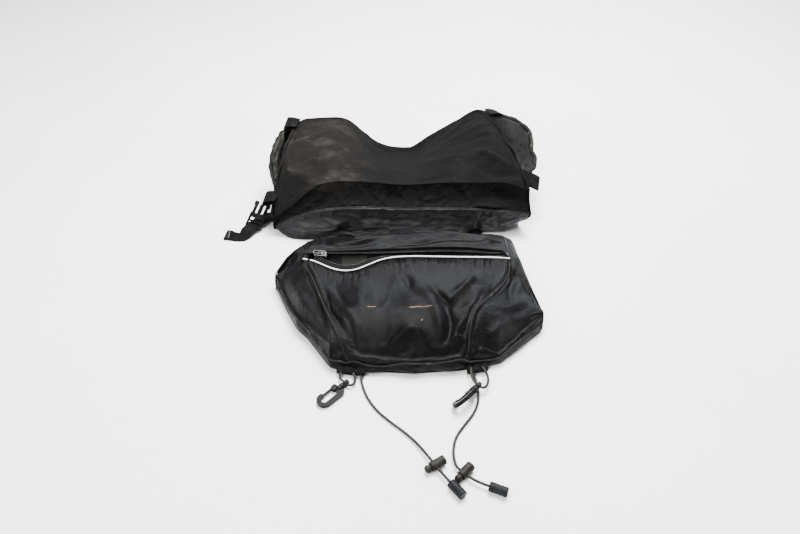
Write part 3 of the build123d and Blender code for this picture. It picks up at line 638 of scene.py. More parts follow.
# ---------------------------------------------------------------- LOBE PADS
# Inside each lobe a slab of grey foam, hidden under the cover, holds the lobe up. How it is
# fixed isn't known, so it is drawn loose, a little below the cover.
foam = Finish("grey_foam", roughness=0.9)
pores = foam.cloud(0.0016, 3)
foam.feed("Base Color", foam.mix(pores.rise(0.4, 0.6), (0.05, 0.05, 0.05), (0.10, 0.10, 0.10)))
foam.bump((pores, 0.0005))
pad_depth = 0.016
for side, side_name in ((-1, "left"), (1, "right")):

    def pad_spot(u, v, side=side):
        spot = cover_spot(0.5 + side * (0.20 + 0.24 * u), 0.14 + 0.72 * v)
        spot.z -= 0.016 + 0.004 * (abs(2 * u - 1) ** 4 + abs(2 * v - 1) ** 4)
        return spot

    pad = cloth_sheet(f"lobe_pad_{side_name}", 36, 36, pad_spot, (0.10, 0.14), pad_depth, flip=side < 0)
    settle(pad, "saddle_bag", "foam", foam, *(["lobe_pads"] if side < 0 else []))

# ---------------------------------------------------------------- SADDLE BAG BACK AND BASE
# The back is the same woven cloth as the cover, sewn to its rear edge. The base is coated
# nylon, sewn to the foot of the back and of the front.
saddle_back = cloth_sheet("saddle_back_cloth", 130, 36, back_spot, (0.37, 0.12))
settle(saddle_back, "saddle_bag", "woven_cover", woven, "saddle_back_panel")
saddle_base = cloth_sheet("saddle_base_cloth", 60, 24, base_spot, (0.42, 0.19), thick=0.001)
settle(saddle_base, "saddle_bag", "coated_cloth", coated, "saddle_base_panel")

# ---------------------------------------------------------------- SADDLE BAG END WALLS
# Each end is closed by an upright woven panel behind the pocket, sewn into the cover's,
# the front's and the base's edges and slightly drawn in between them.


def end_outline(share):
    """The shell's section at one end, from the base's front edge over the top to its rear."""
    outline = [lower_spot((share + 1) / 2, step / 6) for step in range(7)]
    outline += [gusset_spot((share + 1) / 2, step / 4) for step in range(1, 5)]
    outline += [cover_spot((share + 1) / 2, step / 14) for step in range(1, 15)]
    outline += [back_spot((share + 1) / 2, step / 6) for step in range(1, 7)]
    return outline


for side, side_name in ((-1, "left"), (1, "right")):
    outline = end_outline(side)
    base_line = [base_spot((side + 1) / 2, 1 - step / 30) for step in range(31)]

    def wall_spot(u, v, outline=outline, base_line=base_line, side=side):
        place = u * 30
        low = base_line[min(int(place), 30)].lerp(base_line[min(int(place) + 1, 30)], place % 1)
        place = u * (len(outline) - 1)
        index = min(int(place), len(outline) - 2)
        high = outline[index].lerp(outline[index + 1], place - index)
        spot = low.lerp(high, v)
        drawn = math.sin(math.pi * v) * math.sin(math.pi * u)
        spot.x += side * (0.004 - 0.006 * drawn)
        spot.x += side * crumple((spot.x, spot.y, spot.z), 0.030, 0.002, 4.4) * drawn
        return spot

    wall = cloth_sheet(f"saddle_end_cloth_{side_name}", 60, 30, wall_spot, (0.20, 0.11), flip=side < 0)
    settle(wall, "saddle_bag", "woven_cover", woven, f"saddle_end_wall_{side_name}")

# ---------------------------------------------------------------- SEAMS
# Every join between panels is turned in and stitched, which leaves a rolled edge; the cover's
# end seams are bound with tape and stand up as a soft ridge.
thread_finish = Finish("dark_binding_tape", roughness=0.85, specular_ior_level=0.2)
ribs = thread_finish.cloud(0.0016, 2, stretch=(1, 1, 1))
worn_edge = thread_finish.cloud(0.014, 4, 0.6).rise(0.55, 0.72)
tape_tone = thread_finish.mix(ribs.rise(0.4, 0.62), (0.004, 0.004, 0.0043), (0.011, 0.011, 0.0115))
thread_finish.feed("Base Color", thread_finish.mix(worn_edge * 0.3, tape_tone, (0.13, 0.10, 0.07)))
thread_finish.bump((ribs, 0.0005))


def rolled_edge(name, spots, radius, body, finish, steps=1):
    """A soft round edge along these points, read from one smooth spline as a mesh tube."""
    line = nurbs(name + "_line", spots[::steps], radius, 3)
    deselect()
    line.select_set(True)
    bpy.context.view_layer.objects.active = line
    bpy.ops.object.convert(target="MESH")
    piece = bpy.context.object
    piece.name = name
    bpy.ops.object.shade_smooth()
    wear(piece, finish)
    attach(piece, body)
    return piece


def stitches(name, spots, body, pitch=0.0034):
    """A line of sewn stitches lying along the points."""
    deselect()
    thread_radius = 0.00035
    bpy.ops.mesh.primitive_cylinder_add(vertices=6, radius=thread_radius, depth=pitch * 0.62)
    dash = bpy.context.object
    shape = [(vertex.co.copy()) for vertex in dash.data.vertices]
    faces = [tuple(face.vertices) for face in dash.data.polygons]
    bpy.data.objects.remove(dash)
    points, shells, travelled, due = [], [], 0.0, pitch / 2
    for before, after in zip(spots, spots[1:]):
        run = (after - before).length
        while travelled + run >= due and run > 0:
            centre = before.lerp(after, (due - travelled) / run)
            turn = (after - before).to_track_quat("Z", "Y")
            shells.append([len(points) + index for index in range(len(shape))])
            points += [centre + turn @ co for co in shape]
            due += pitch
        travelled += run
    mesh = bpy.data.meshes.new(name)
    mesh.from_pydata(points, [], [tuple(shell[i] for i in face) for shell in shells for face in faces])
    piece = bpy.data.objects.new(name, mesh)
    bpy.context.collection.objects.link(piece)
    wear(piece, stitch_finish)
    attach(piece, body)
    return piece


stitch_finish = Finish("sewing_thread", roughness=0.8, specular_ior_level=0.08)
stitch_tone = stitch_finish.cloud(0.003, 2).rise(0.35, 0.65)
stitch_colour = stitch_finish.mix(stitch_tone, (0.004, 0.004, 0.004), (0.013, 0.013, 0.013))
stitch_finish.feed("Base Color", stitch_colour)

lift = Vector((0, 0, 0.0006))
cover_seam = [cover_spot(step / 60, 0) for step in range(61)]
rolled_edge("saddle_cover_front_seam", cover_seam, 0.0013, "saddle_bag", woven)
gusset_seam = [gusset_spot(step / 60, 0) + Vector((0, -0.0008, 0)) for step in range(61)]
rolled_edge("saddle_gusset_seam", gusset_seam, 0.0014, "saddle_bag", thread_finish)
rear_seam = [cover_spot(step / 70, 1) for step in range(71)]
rolled_edge("saddle_rear_seam", rear_seam, 0.0015, "saddle_bag", thread_finish)
base_front = [lower_spot(step / 40, 0) + lift for step in range(41)]
rolled_edge("saddle_base_seam", base_front, 0.0013, "saddle_bag", thread_finish)
base_rear = [back_spot(step / 40, 1) + lift for step in range(41)]
rolled_edge("saddle_base_rear_seam", base_rear, 0.0013, "saddle_bag", thread_finish)
for side, side_name in ((0, "left"), (1, "right")):
    end_seam = [cover_spot(side, step / 24) for step in range(25)]
    for index, spot in enumerate(end_seam):
        spot.x += (side - 0.5) * 0.004 * math.sin(index * 0.9) + (side - 0.5) * 0.003
        spot.z += 0.0015 * math.sin(index * 0.7 + 1)
    rolled_edge(f"saddle_end_seam_{side_name}", end_seam, 0.0021, "saddle_bag", woven)
    stitch_row = [cover_spot(abs(side - 0.022), step / 80) + lift for step in range(2, 80)]
    stitches(f"saddle_end_stitches_{side_name}", stitch_row, "saddle_bag")
cover_stitch_spots = [cover_spot(step / 200, 0.035) + lift for step in range(4, 197)]
stitches("saddle_cover_stitches", cover_stitch_spots, "saddle_bag")

# ---------------------------------------------------------------- END POCKETS
# A padded pocket is sewn to each end: woven outside, a smooth grey lining inside, and a thick
# bound rim. The right one stands open; the left one is pressed flat into soft layers.
lining = Finish("grey_pocket_lining", roughness=0.8, specular_ior_level=0.3)
lining_thread = lining.weave(0.0008)
grime = lining.cloud(0.030, 4, 0.6, stretch=(1, 1, 0.5)).rise(0.4, 0.7)
lining_tone = lining.mix(lining_thread.rise(-0.5, 0.6), (0.020, 0.020, 0.021), (0.034, 0.034, 0.036))
lining.feed("Base Color", lining.mix(grime * 0.5, lining_tone, (0.075, 0.072, 0.067)))
lining.bump((lining_thread, 0.0001), (lining.cloud(0.010, 3), 0.0007))

worn_layer = Finish("worn_pocket_fold", roughness=0.85, specular_ior_level=0.15)
fold_rub = worn_layer.cloud(0.012, 4, 0.6).rise(0.45, 0.7)
worn_layer.feed("Base Color", worn_layer.mix(fold_rub * 0.6, (0.006, 0.0057, 0.0053), (0.050, 0.042, 0.033)))
worn_layer.bump((worn_layer.cloud(0.003, 3), 0.0005))

pocket_rims = {
    # along the end from front to rear: (x, y, z) of the rim
    "right": [
        (0.207, -0.004, 0.058), (0.226, 0.004, 0.059), (0.243, 0.018, 0.062), (0.2480, 0.034, 0.070),
        (0.2395, 0.050, 0.082), (0.2425, 0.066, 0.095), (0.236, 0.082, 0.108), (0.213, 0.096, 0.119),
        (0.186, 0.101, 0.1255), (0.166, 0.101, 0.128),
    ],
    "left": [
        (-0.215, -0.030, 0.050), (-0.2265, -0.010, 0.057), (-0.2335, 0.012, 0.066), (-0.2330, 0.034, 0.078),
        (-0.2290, 0.055, 0.088), (-0.2250, 0.072, 0.094), (-0.2130, 0.086, 0.098), (-0.1960, 0.094, 0.100),
    ],
}


def spline_spots(points, count):
    """Points read from one smooth spline through a list of control points."""
    line = nurbs("line", points, 0)
    line.data.resolution_u = 12
    mesh = bpy.data.meshes.new_from_object(line)
    spots = [vertex.co.copy() for vertex in mesh.vertices]
    bpy.data.objects.remove(line)
    bpy.data.meshes.remove(mesh)
    return [spots[round(index * (len(spots) - 1) / (count - 1))] for index in range(count)]


for side, side_name in ((-1, "left"), (1, "right")):
    rim = spline_spots(pocket_rims[side_name], 49)

    def pocket_spot(u, v, rim=rim, side=side):
        """v runs from the pocket's foot at the end wall up to the rim."""
        place = u * 48
        index = min(int(place), 47)
        top = rim[index].lerp(rim[index + 1], place - index)
        start = 0.092 if side > 0 else 0.064
        foot = saddle_spot(side, start + (0.188 - start) * u, 0.004)
        foot.x += side * (0.004 + 0.013 * math.sin(math.pi * u))
        spot = foot.lerp(top, v)
        belly = math.sin(math.pi * v) * math.sin(math.pi * min(max(u, 0), 1)) ** 0.6
        spot.x += side * 0.010 * belly
        upright = math.sin(u * 34 + side) * 0.0016 + math.sin(u * 61 + 1) * 0.0008
        spot.x += upright * (0.3 + 0.7 * v) * math.sin(math.pi * u) ** 0.5
        spot.x += side * crumple((spot.x, spot.y, spot.z), 0.028, 0.0024, 7.7) * math.sin(math.pi * v)
        return spot

    pocket = cloth_sheet(
        f"end_pocket_cloth_{side_name}", 80, 40, pocket_spot, (0.16, 0.10), 0.0045, side < 0
    )
    settle(pocket, "saddle_bag", "pocket_cloth", woven, f"end_pocket_{side_name}")
    # the inner faces wear the lining
    pocket.data.materials.append(lining.material)
    for face in pocket.data.polygons[80 * 40:2 * 80 * 40]:
        face.material_index = 1
    bound = [spot + Vector((0, 0, 0.0015)) for spot in rim[::2]]
    for index, spot in enumerate(bound):
        spot.x += 0.0010 * math.sin(index * 1.7)
        spot.z += 0.0008 * math.sin(index * 2.3)
    binding = rolled_edge(
        f"pocket_binding_tape_{side_name}", bound, 0.0041, "saddle_bag", thread_finish
    )
    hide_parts(f"pocket_binding_{side_name}")
    if side < 0:
        # the flattened pocket's lining lies in two soft layers beside the opening
        for layer, (out, drop) in enumerate(((-0.0085, 0.004), (-0.0160, 0.001))):
            layer_spots = [spot.copy() for spot in rim[3:44:4]]
            for index, spot in enumerate(layer_spots):
                bow = math.sin(math.pi * index / (len(layer_spots) - 1))
                spot.x += -out * (0.35 + 0.65 * bow) + 0.002 * math.sin(index * 1.3 + layer)
                spot.z += 0.004 + drop + 0.007 * bow * (1 + layer)
            rolled_edge(
                f"pocket_layer_{layer + 1}", layer_spots, 0.0030, "saddle_bag", worn_layer
            )
    row = [pocket_spot(step / 120, 0.93) + Vector((side * 0.0006, 0, 0)) for step in range(4, 117)]
    stitches(f"pocket_stitches_{side_name}", row, "saddle_bag")

# ---------------------------------------------------------------- POUCH SHELL
# A flat pouch of coated nylon: a wide gathered pocket in front, a soft wing at each side, a
# hemmed lower edge and a plain top panel behind the zip. It is half empty, so it sags in folds.
pouch_outline = [
    # across, rear edge, lower edge, fullest height
    (-0.191, -0.229, -0.246, 0.030),
    (-0.172, -0.192, -0.288, 0.037),
    (-0.150, -0.158, -0.331, 0.044),
    (-0.132, -0.151, -0.350, 0.050),
    (-0.096, -0.150, -0.404, 0.058),
    (-0.030, -0.150, -0.411, 0.067),
    (0.020, -0.150, -0.4135, 0.070),
    (0.085, -0.150, -0.408, 0.068),
    (0.138, -0.150, -0.396, 0.060),
    (0.166, -0.150, -0.369, 0.052),
    (0.180, -0.158, -0.356, 0.046),
    (0.194, -0.232, -0.344, 0.039),
    (0.205, -0.312, -0.333, 0.031),
]
left_end = pouch_outline[0][0]
right_end = pouch_outline[-1][0]
mouth_left = -0.132
mouth_right = 0.166

piping_line = [
    # the piped edge dips where the pocket has slumped
    (-0.148, -0.2330, 0.0555), (-0.132, -0.2370, 0.0560), (-0.112, -0.2475, 0.0530),
    (-0.092, -0.2545, 0.0500), (-0.070, -0.2545, 0.0500), (-0.048, -0.2470, 0.0550),
    (-0.025, -0.2400, 0.0620), (0.010, -0.2380, 0.0650), (0.060, -0.2385, 0.0640),
    (0.110, -0.2370, 0.0620), (0.145, -0.2350, 0.0600), (0.167, -0.2340, 0.0570),
]
pocket_seam_left = [
    (-0.148, -0.236), (-0.132, -0.264), (-0.112, -0.316),
    (-0.096, -0.356), (-0.081, -0.388), (-0.069, -0.409),
]
pocket_seam_right = [
    (0.168, -0.238), (0.162, -0.262), (0.152, -0.282), (0.137, -0.305), (0.121, -0.328), (0.104, -0.352),
    (0.096, -0.374), (0.093, -0.398),
]


def straight(table, place, column):
    """Value between the entries of a table, in straight runs."""
    for before, after in zip(table, table[1:]):
        if place <= after[0]:
            break
    step = min(max((place - before[0]) / (after[0] - before[0]), 0), 1)
    return before[column] + (after[column] - before[column]) * step


def piping_at(x):
    y = along([(p[0], p[1]) for p in piping_line], min(max(x, -0.148), 0.167))
    z = along([(p[0], p[2]) for p in piping_line], min(max(x, -0.148), 0.167))
    return y, z


def seam_valley(x, y):
    """Depth of the groove along the front pocket's two slanted side seams."""
    depth = 0.0
    for seam, inner in ((pocket_seam_left, 1), (pocket_seam_right, -1)):
        if seam[-1][1] - 0.01 < y < seam[0][1] + 0.01:
            edge = along([(-p[1], p[0]) for p in seam], min(max(-y, -seam[0][1]), -seam[-1][1]))
            off = (x - edge) * inner
            # the pocket stands proud of the wing beside it
            depth += 0.0046 * hump(off, -0.002, 0.0042)
            depth -= 0.0030 * hump(off, 0.010, 0.009)
    return depth


front_folds = [
    # (from), (to), width, height
    ((-0.112, -0.300), (-0.066, -0.398), 0.0050, -0.0085),
    ((-0.098, -0.300), (-0.054, -0.404), 0.0075, 0.0065),
    ((-0.092, -0.284), (-0.080, -0.352), 0.0060, -0.0040),
    ((-0.084, -0.340), (-0.060, -0.398), 0.0045, -0.0070),
    ((-0.060, -0.270), (-0.046, -0.370), 0.0140, 0.0040),
    ((0.000, -0.268), (0.022, -0.304), 0.0065, -0.0055),
    ((0.022, -0.304), (0.060, -0.330), 0.0090, 0.0055),
    ((0.052, -0.296), (0.069, -0.342), 0.0055, -0.0110),
    ((0.070, -0.330), (0.106, -0.268), 0.0065, -0.0075),
    ((0.086, -0.330), (0.128, -0.286), 0.0170, 0.0130),
    ((0.060, -0.330), (0.070, -0.398), 0.0055, -0.0075),
    ((0.048, -0.318), (0.054, -0.398), 0.0100, 0.0065),
    ((0.082, -0.362), (0.074, -0.398), 0.0060, 0.0050),
    ((0.148, -0.290), (0.104, -0.352), 0.0055, -0.0045),
    ((-0.010, -0.388), (0.034, -0.384), 0.0120, 0.0065),
    ((-0.040, -0.396), (0.016, -0.386), 0.0045, 0.0050),
    ((0.016, -0.386), (0.050, -0.400), 0.0045, 0.0050),
    ((0.050, -0.400), (0.090, -0.390), 0.0045, 0.0045),
    ((-0.030, -0.404), (0.030, -0.400), 0.0045, -0.0040),
]
wing_folds = [
    ((-0.150, -0.300), (-0.100, -0.392), 0.0070, 0.0045),
    ((-0.152, -0.270), (-0.098, -0.372), 0.0080, -0.0055),
    ((-0.104, -0.392), (-0.074, -0.400), 0.0055, -0.0040),
    ((-0.128, -0.372), (-0.096, -0.398), 0.0050, 0.0035),
    ((0.192, -0.240), (0.164, -0.300), 0.0080, 0.0040),
    ((0.178, -0.262), (0.150, -0.322), 0.0060, -0.0045),
    ((0.196, -0.316), (0.128, -0.346), 0.0080, -0.0040),
    ((0.176, -0.350), (0.108, -0.388), 0.0070, 0.0045),
    ((0.150, -0.372), (0.104, -0.396), 0.0050, -0.0035),
    ((0.168, -0.176), (0.180, -0.220), 0.0070, 0.0040),
]


def front_spot(u, v):
    """The gathered front and both wings, from the lower hem to the piped edge."""
    x = left_end + (right_end - left_end) * u
    low = straight(pouch_outline, x, 2) + 0.002
    full = along([(entry[0], entry[3]) for entry in pouch_outline], x)
    if mouth_left - 0.012 < x < mouth_right:
        high, ridge = piping_at(x)
    else:
        end = mouth_left - 0.012 if x < 0 else mouth_right
        tip = left_end if x < 0 else right_end
        share = (x - end) / (tip - end)
        high = piping_at(end)[0] * (1 - share) + straight(pouch_outline, tip, 1) * share
        high += 0.030 * math.sin(math.pi * min(share, 1)) * (1 if x < 0 else 0.4)
        high = min(high, straight(pouch_outline, x, 1))
        ridge = piping_at(end)[1] * (1 - share) + 0.022 * share
    high = max(high, low + 0.010)
    y = low + (high - low) * v
    swell = math.sin(math.pi / 2 * min(v / 0.42, 1)) ** 0.72
    beyond = max(v - 0.34, 0) / 0.66
    band = 0.017 + 0.0035 * math.sin(x * 34) + 0.002 * math.sin(x * 83 + 1)
    height = band + (full - band) * swell + (ridge - full) * beyond ** 2.2
    height -= 0.009 * math.sin(math.pi * beyond) * hump(x, 0.02, 0.12)
    height += 0.0025 * math.sin(math.pi * v) * math.sin(x * 70)
    folds = front_folds if -0.12 < x < 0.165 else []
    edge = min(v / 0.06, 1) * min((1 - v) / 0.05, 1)
    height += creases((x, y), folds) * min(edge + 0.05, 1)
    height += creases((x, y), wing_folds) * min(edge + 0.05, 1)
    height -= seam_valley(x, y)
    # small gathers hang from the piped edge
    gathers = math.sin(x * 430 + 2 * math.sin(x * 95)) + 0.6 * math.sin(x * 811)
    height += 0.0011 * gathers * math.exp(-((1 - v) / 0.10) ** 1.3) * min((1 - v) / 0.015, 1)
    pulls = math.sin(x * 330 + 3 * math.sin(x * 60))
    height += 0.0010 * pulls * math.exp(-(v / 0.09) ** 1.2) * min(v / 0.02, 1)
    height += crumple((x, y * 0.7, 0.3), 0.085, 0.0011, 2.2) * edge
    return Vector((x, y, max(height, 0.006)))


def hem_spot(u, v):
    """The turned-in band along the lower edge, from the floor up to the front's seam."""
    x = left_end + (right_end - left_end) * u
    low = straight(pouch_outline, x, 2) + 0.002
    height = 0.0012 + 0.0198 * v
    out = 0.0042 * math.sin(math.pi * v) + 0.0016 * math.sin(x * 120) * math.sin(math.pi * v)
    top = front_spot(u, 0)
    height = 0.0012 + (top.z - 0.0012) * v
    spot = Vector((x, low - out, height))
    spot.y -= crumple((x * 0.8, 0.2, height * 2.4), 0.030, 0.0026, 3.9) * math.sin(math.pi * v)
    return spot


def mouth_rear(x):
    """Rear edge of the open zip mouth, which gapes towards the right."""
    gape = math.sin(math.pi * min(max((x - mouth_left) / (mouth_right - mouth_left), 0), 1) ** 1.7)
    return -0.2185 + 0.0085 * gape, 0.0575 + 0.002 * gape


top_folds = [
    ((-0.026, -0.2165), (0.064, -0.1945), 0.0040, -0.0035),
    ((0.064, -0.1945), (0.160, -0.1995), 0.0040, -0.0035),
    ((-0.118, -0.212), (-0.020, -0.186), 0.0050, -0.0055),
    ((-0.100, -0.200), (0.010, -0.176), 0.0065, 0.0060),
    ((-0.030, -0.200), (0.120, -0.186), 0.0060, -0.0045),
    ((0.010, -0.172), (0.150, -0.176), 0.0070, 0.0050),
    ((-0.080, -0.176), (-0.030, -0.166), 0.0050, 0.0045),
    ((0.100, -0.200), (0.162, -0.190), 0.0060, 0.0045),
    ((0.060, -0.162), (0.150, -0.160), 0.0045, -0.0045),
    ((-0.126, -0.170), (-0.100, -0.205), 0.0055, -0.0050),
]


def top_spot(u, v):
    """The panel behind the zip, which rolls down over the rear edge to the floor."""
    x = left_end + (right_end - left_end) * u
    rear = straight(pouch_outline, x, 1)
    start, ridge = mouth_rear(min(max(x, mouth_left), mouth_right))
    if x < mouth_left - 0.012 or x > mouth_right:
        front = front_spot(u, 1)
        start, ridge = front.y, front.z
    elif x < mouth_left:
        front = front_spot(u, 1)
        share = (mouth_left - x) / 0.012
        start = start + (front.y - start) * share
        ridge = ridge + (front.z - ridge) * share
    rear = max(rear, start + 0.003)
    # it stands higher towards the right, where it reaches the saddle bag's front
    fall = min(ridge, 0.036 + 0.014 * hump(x, 0.085, 0.10))
    if v < 0.68:
        share = v / 0.68
        y = start + (rear - 0.006 - start) * share
        height = ridge + (fall - ridge) * share ** 1.6 + 0.006 * math.sin(math.pi * share)
    else:
        turn = (v - 0.68) / 0.32
        y = rear - 0.006 + 0.006 * math.sin(math.pi / 2 * min(turn * 2.2, 1))
        height = fall - (fall - 0.0012) * turn ** 1.15
    edge = min(v / 0.06, 1) * min((1 - v) / 0.15, 1)
    height += creases((x, y), top_folds) * edge
    height += crumple((x * 0.45, y, 0.7), 0.050, 0.0014, 6.1) * edge
    return Vector((x, y, max(height, 0.0012)))


def pouch_base_spot(u, v):
    x = left_end + (right_end - left_end) * u
    low = straight(pouch_outline, x, 2) + 0.003
    rear = straight(pouch_outline, x, 1) - 0.001
    return Vector((x, rear + (low - rear) * v, 0.0012))


def pocket_seams_held(place):
    """The front is sewn down along the pocket's two side seams."""
    weight = 0.0
    for seam in (pocket_seam_left, pocket_seam_right):
        if seam[-1][1] < place.y < seam[0][1]:
            edge = along([(-p[1], p[0]) for p in seam], -place.y)
            weight = max(weight, 0.9 * hump(place.x, edge, 0.0035))
    return weight


pouch_front = cloth_sheet(
    "pouch_front_cloth", 230, 132, front_spot, (0.40, 0.21), slack=0.006, also=pocket_seams_held
)
front_nodes = ("pouch_front_panel", "pouch_wing_left", "pouch_wing_right")
settle(pouch_front, "pouch", "coated_cloth", coated, *front_nodes)
pouch_hem = cloth_sheet("pouch_hem_cloth", 190, 10, hem_spot, (0.42, 0.024))
settle(pouch_hem, "pouch", "coated_cloth", coated, "pouch_bottom_band")
pouch_top = cloth_sheet("pouch_top_cloth", 190, 60, top_spot, (0.40, 0.11))
settle(pouch_top, "pouch", "coated_cloth", coated, "pouch_top_panel", "pouch_rear_gusset")
pouch_back = cloth_sheet("pouch_back_cloth", 80, 20, pouch_base_spot, (0.40, 0.25), thick=0.001)
settle(pouch_back, "pouch", "coated_cloth", coated, "pouch_back_panel")

for end, end_name in ((0, "left"), (1, "right")):
    outline = [hem_spot(end, step / 4) for step in range(5)]
    outline += [front_spot(end, step / 6) for step in range(1, 7)]
    outline += [top_spot(end, step / 8) for step in range(1, 9)]

    def end_spot(u, v, outline=outline, end=end):
        place = u * (len(outline) - 1)
        index = min(int(place), len(outline) - 2)
        high = outline[index].lerp(outline[index + 1], place - index)
        spot = pouch_base_spot(end, 1 - u).lerp(high, v)
        spot.x += (end - 0.5) * (0.003 + 0.006 * math.sin(math.pi * u) * math.sin(math.pi * v))
        return spot

    pouch_end = cloth_sheet(
        f"pouch_end_cloth_{end_name}", 36, 12, end_spot, (0.05, 0.03), 0.001, flip=end == 0
    )
    settle(pouch_end, "pouch", "coated_cloth", coated)

hem_line = [front_spot(step / 120, 0) + Vector((0, -0.0008, 0.0004)) for step in range(121)]
rolled_edge("pouch_hem_seam", hem_line, 0.0015, "pouch", thread_finish, steps=2)
lower_line = [hem_spot(step / 120, 0) + lift for step in range(121)]
rolled_edge("pouch_lower_seam", lower_line, 0.0014, "pouch", thread_finish, steps=2)


def on_front(x, y, rise=0.0):
    """The point of the front cloth at a place seen from above."""
    u = (x - left_end) / (right_end - left_end)
    low, high = front_spot(u, 0), front_spot(u, 1)
    v = min(max((y - low.y) / (high.y - low.y), 0), 1)
    return front_spot(u, v) + Vector((0, 0, rise))


for seam_name, seam, inward in (("left", pocket_seam_left, 1), ("right", pocket_seam_right, -1)):
    count = 26
    spots = []
    for step in range(count + 1):
        y = seam[0][1] + (seam[-1][1] - seam[0][1]) * step / count
        edge = along([(-p[1], p[0]) for p in seam], -y)
        spots.append(on_front(edge, y, 0.0008))
    rolled_edge(f"pouch_pocket_seam_{seam_name}", spots, 0.0012, "pouch", thread_finish)
    row = [on_front(spot.x + inward * 0.005, spot.y, 0.0004) for spot in spots]
    stitches(f"pouch_pocket_stitches_{seam_name}", row, "pouch", pitch=0.003)

# ---------------------------------------------------------------- REFLECTIVE PIPING
# A thin pale reflective cord in a folded tape, sewn along the gathered edge of the pocket.
reflective = Finish("reflective_piping", roughness=0.38)
grit = reflective.cloud(0.006, 4, 0.6).rise(0.52, 0.72)
reflective.feed("Base Color", reflective.mix(grit * 0.5, (0.78, 0.79, 0.80), (0.42, 0.42, 0.41)))
reflective.bump((reflective.cloud(0.0007, 2), 0.0002))
piping_spots = [Vector(point) + Vector((0, -0.0006, 0.0022)) for point in piping_line]
piping = rolled_edge("pouch_reflective_piping", piping_spots, 0.00105, "pouch", reflective)
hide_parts("reflective_piping")

# ---------------------------------------------------------------- ZIP
# A moulded coil zip on woven tape. It is open: the slider waits at the left end, and its two
# coils lie apart along the mouth, with a metal slider, a wire ring and a soft pull tab.
zip_tape = Finish("woven_zip_tape", roughness=0.9, specular_ior_level=0.08)
tape_weave = zip_tape.weave(0.0009)
tape_threads = tape_weave.rise(-0.5, 0.6)
tape_colour = zip_tape.mix(tape_threads, (0.0032, 0.0032, 0.0034), (0.0085, 0.0085, 0.009))
zip_tape.feed("Base Color", tape_colour)
zip_tape.bump((tape_weave, 0.00012))
coil_plastic = Finish("zip_coil_plastic", roughness=0.36)
coil_soil = coil_plastic.cloud(0.004, 3).rise(0.4, 0.7)
coil_plastic.feed("Base Color", coil_plastic.mix(coil_soil, (0.016, 0.016, 0.017), (0.050, 0.048, 0.045)))

zip_line = -0.222
coil_height = 0.0565


def front_coil(x):
    """The front coil droops with the slumped pocket near its left end."""
    y, z = piping_at(x)
    droop = min(y + 0.0125, zip_line - 0.0042)
    return droop, min(z + 0.0015, coil_height)


def rear_coil(x):
    start, _ = mouth_rear(x)
    return max(start - 0.0035, zip_line + 0.0042), coil_height


def front_tape_spot(u, v):
    x = mouth_left + (mouth_right - mouth_left) * u
    y, z = piping_at(x)
    coil_y, coil_z = front_coil(x)
    ridge = Vector((x, y + 0.0015, z + 0.0004))
    edge = Vector((x, coil_y, coil_z + 0.0006 * math.sin(x * 150)))
    spot = ridge.lerp(edge, v)
    # it drops first and lies level beside the coil, where the slider runs
    fall = min(v / 0.45, 1)
    spot.z = ridge.z + (edge.z - ridge.z) * fall
    spot.z += 0.0012 * math.sin(math.pi * fall) * (1 + 0.4 * math.sin(x * 90))
    return spot


def rear_tape_spot(u, v):
    x = mouth_left + (mouth_right - mouth_left) * u
    top = Vector((x, mouth_rear(x)[0] + 0.004, mouth_rear(x)[1] - 0.0008))
    edge = Vector((x, rear_coil(x)[0], rear_coil(x)[1] + 0.0006 * math.sin(x * 130)))
    return edge.lerp(top, v)


tape_front = cloth_sheet("zip_tape_front", 120, 8, front_tape_spot, (0.30, 0.014), 0.0006)
settle(tape_front, "pouch", "zip_tape", zip_tape, "zip_tapes")
tape_rear = cloth_sheet("zip_tape_rear", 120, 6, rear_tape_spot, (0.30, 0.010), 0.0006)
settle(tape_rear, "pouch", "zip_tape", zip_tape)
top_edge = []
for step in range(61):
    x = mouth_left + (mouth_right - mouth_left) * step / 60
    top_edge.append(top_spot((x - left_end) / (right_end - left_end), 0.02) + lift)
rolled_edge("pouch_mouth_fold", top_edge, 0.0013, "pouch", coated)
flap_line = [(-0.030, -0.2135), (0.020, -0.2000), (0.064, -0.1915), (0.120, -0.1925), (0.160, -0.1965)]


def on_top(x, y, rise):
    """The point of the top panel at a place seen from above."""
    u = (x - left_end) / (right_end - left_end)
    near, far = top_spot(u, 0), top_spot(u, 0.68)
    share = min(max((y - near.y) / (far.y - near.y), 0), 1)
    return top_spot(u, 0.68 * share) + Vector((0, 0, rise))


flap_xs = [-0.030 + 0.190 * step / 40 for step in range(41)]
flap_seam = [on_top(x, along(flap_line, x), 0.0002) for x in flap_xs]
rolled_edge("pouch_flap_seam", flap_seam, 0.0011, "pouch", thread_finish)


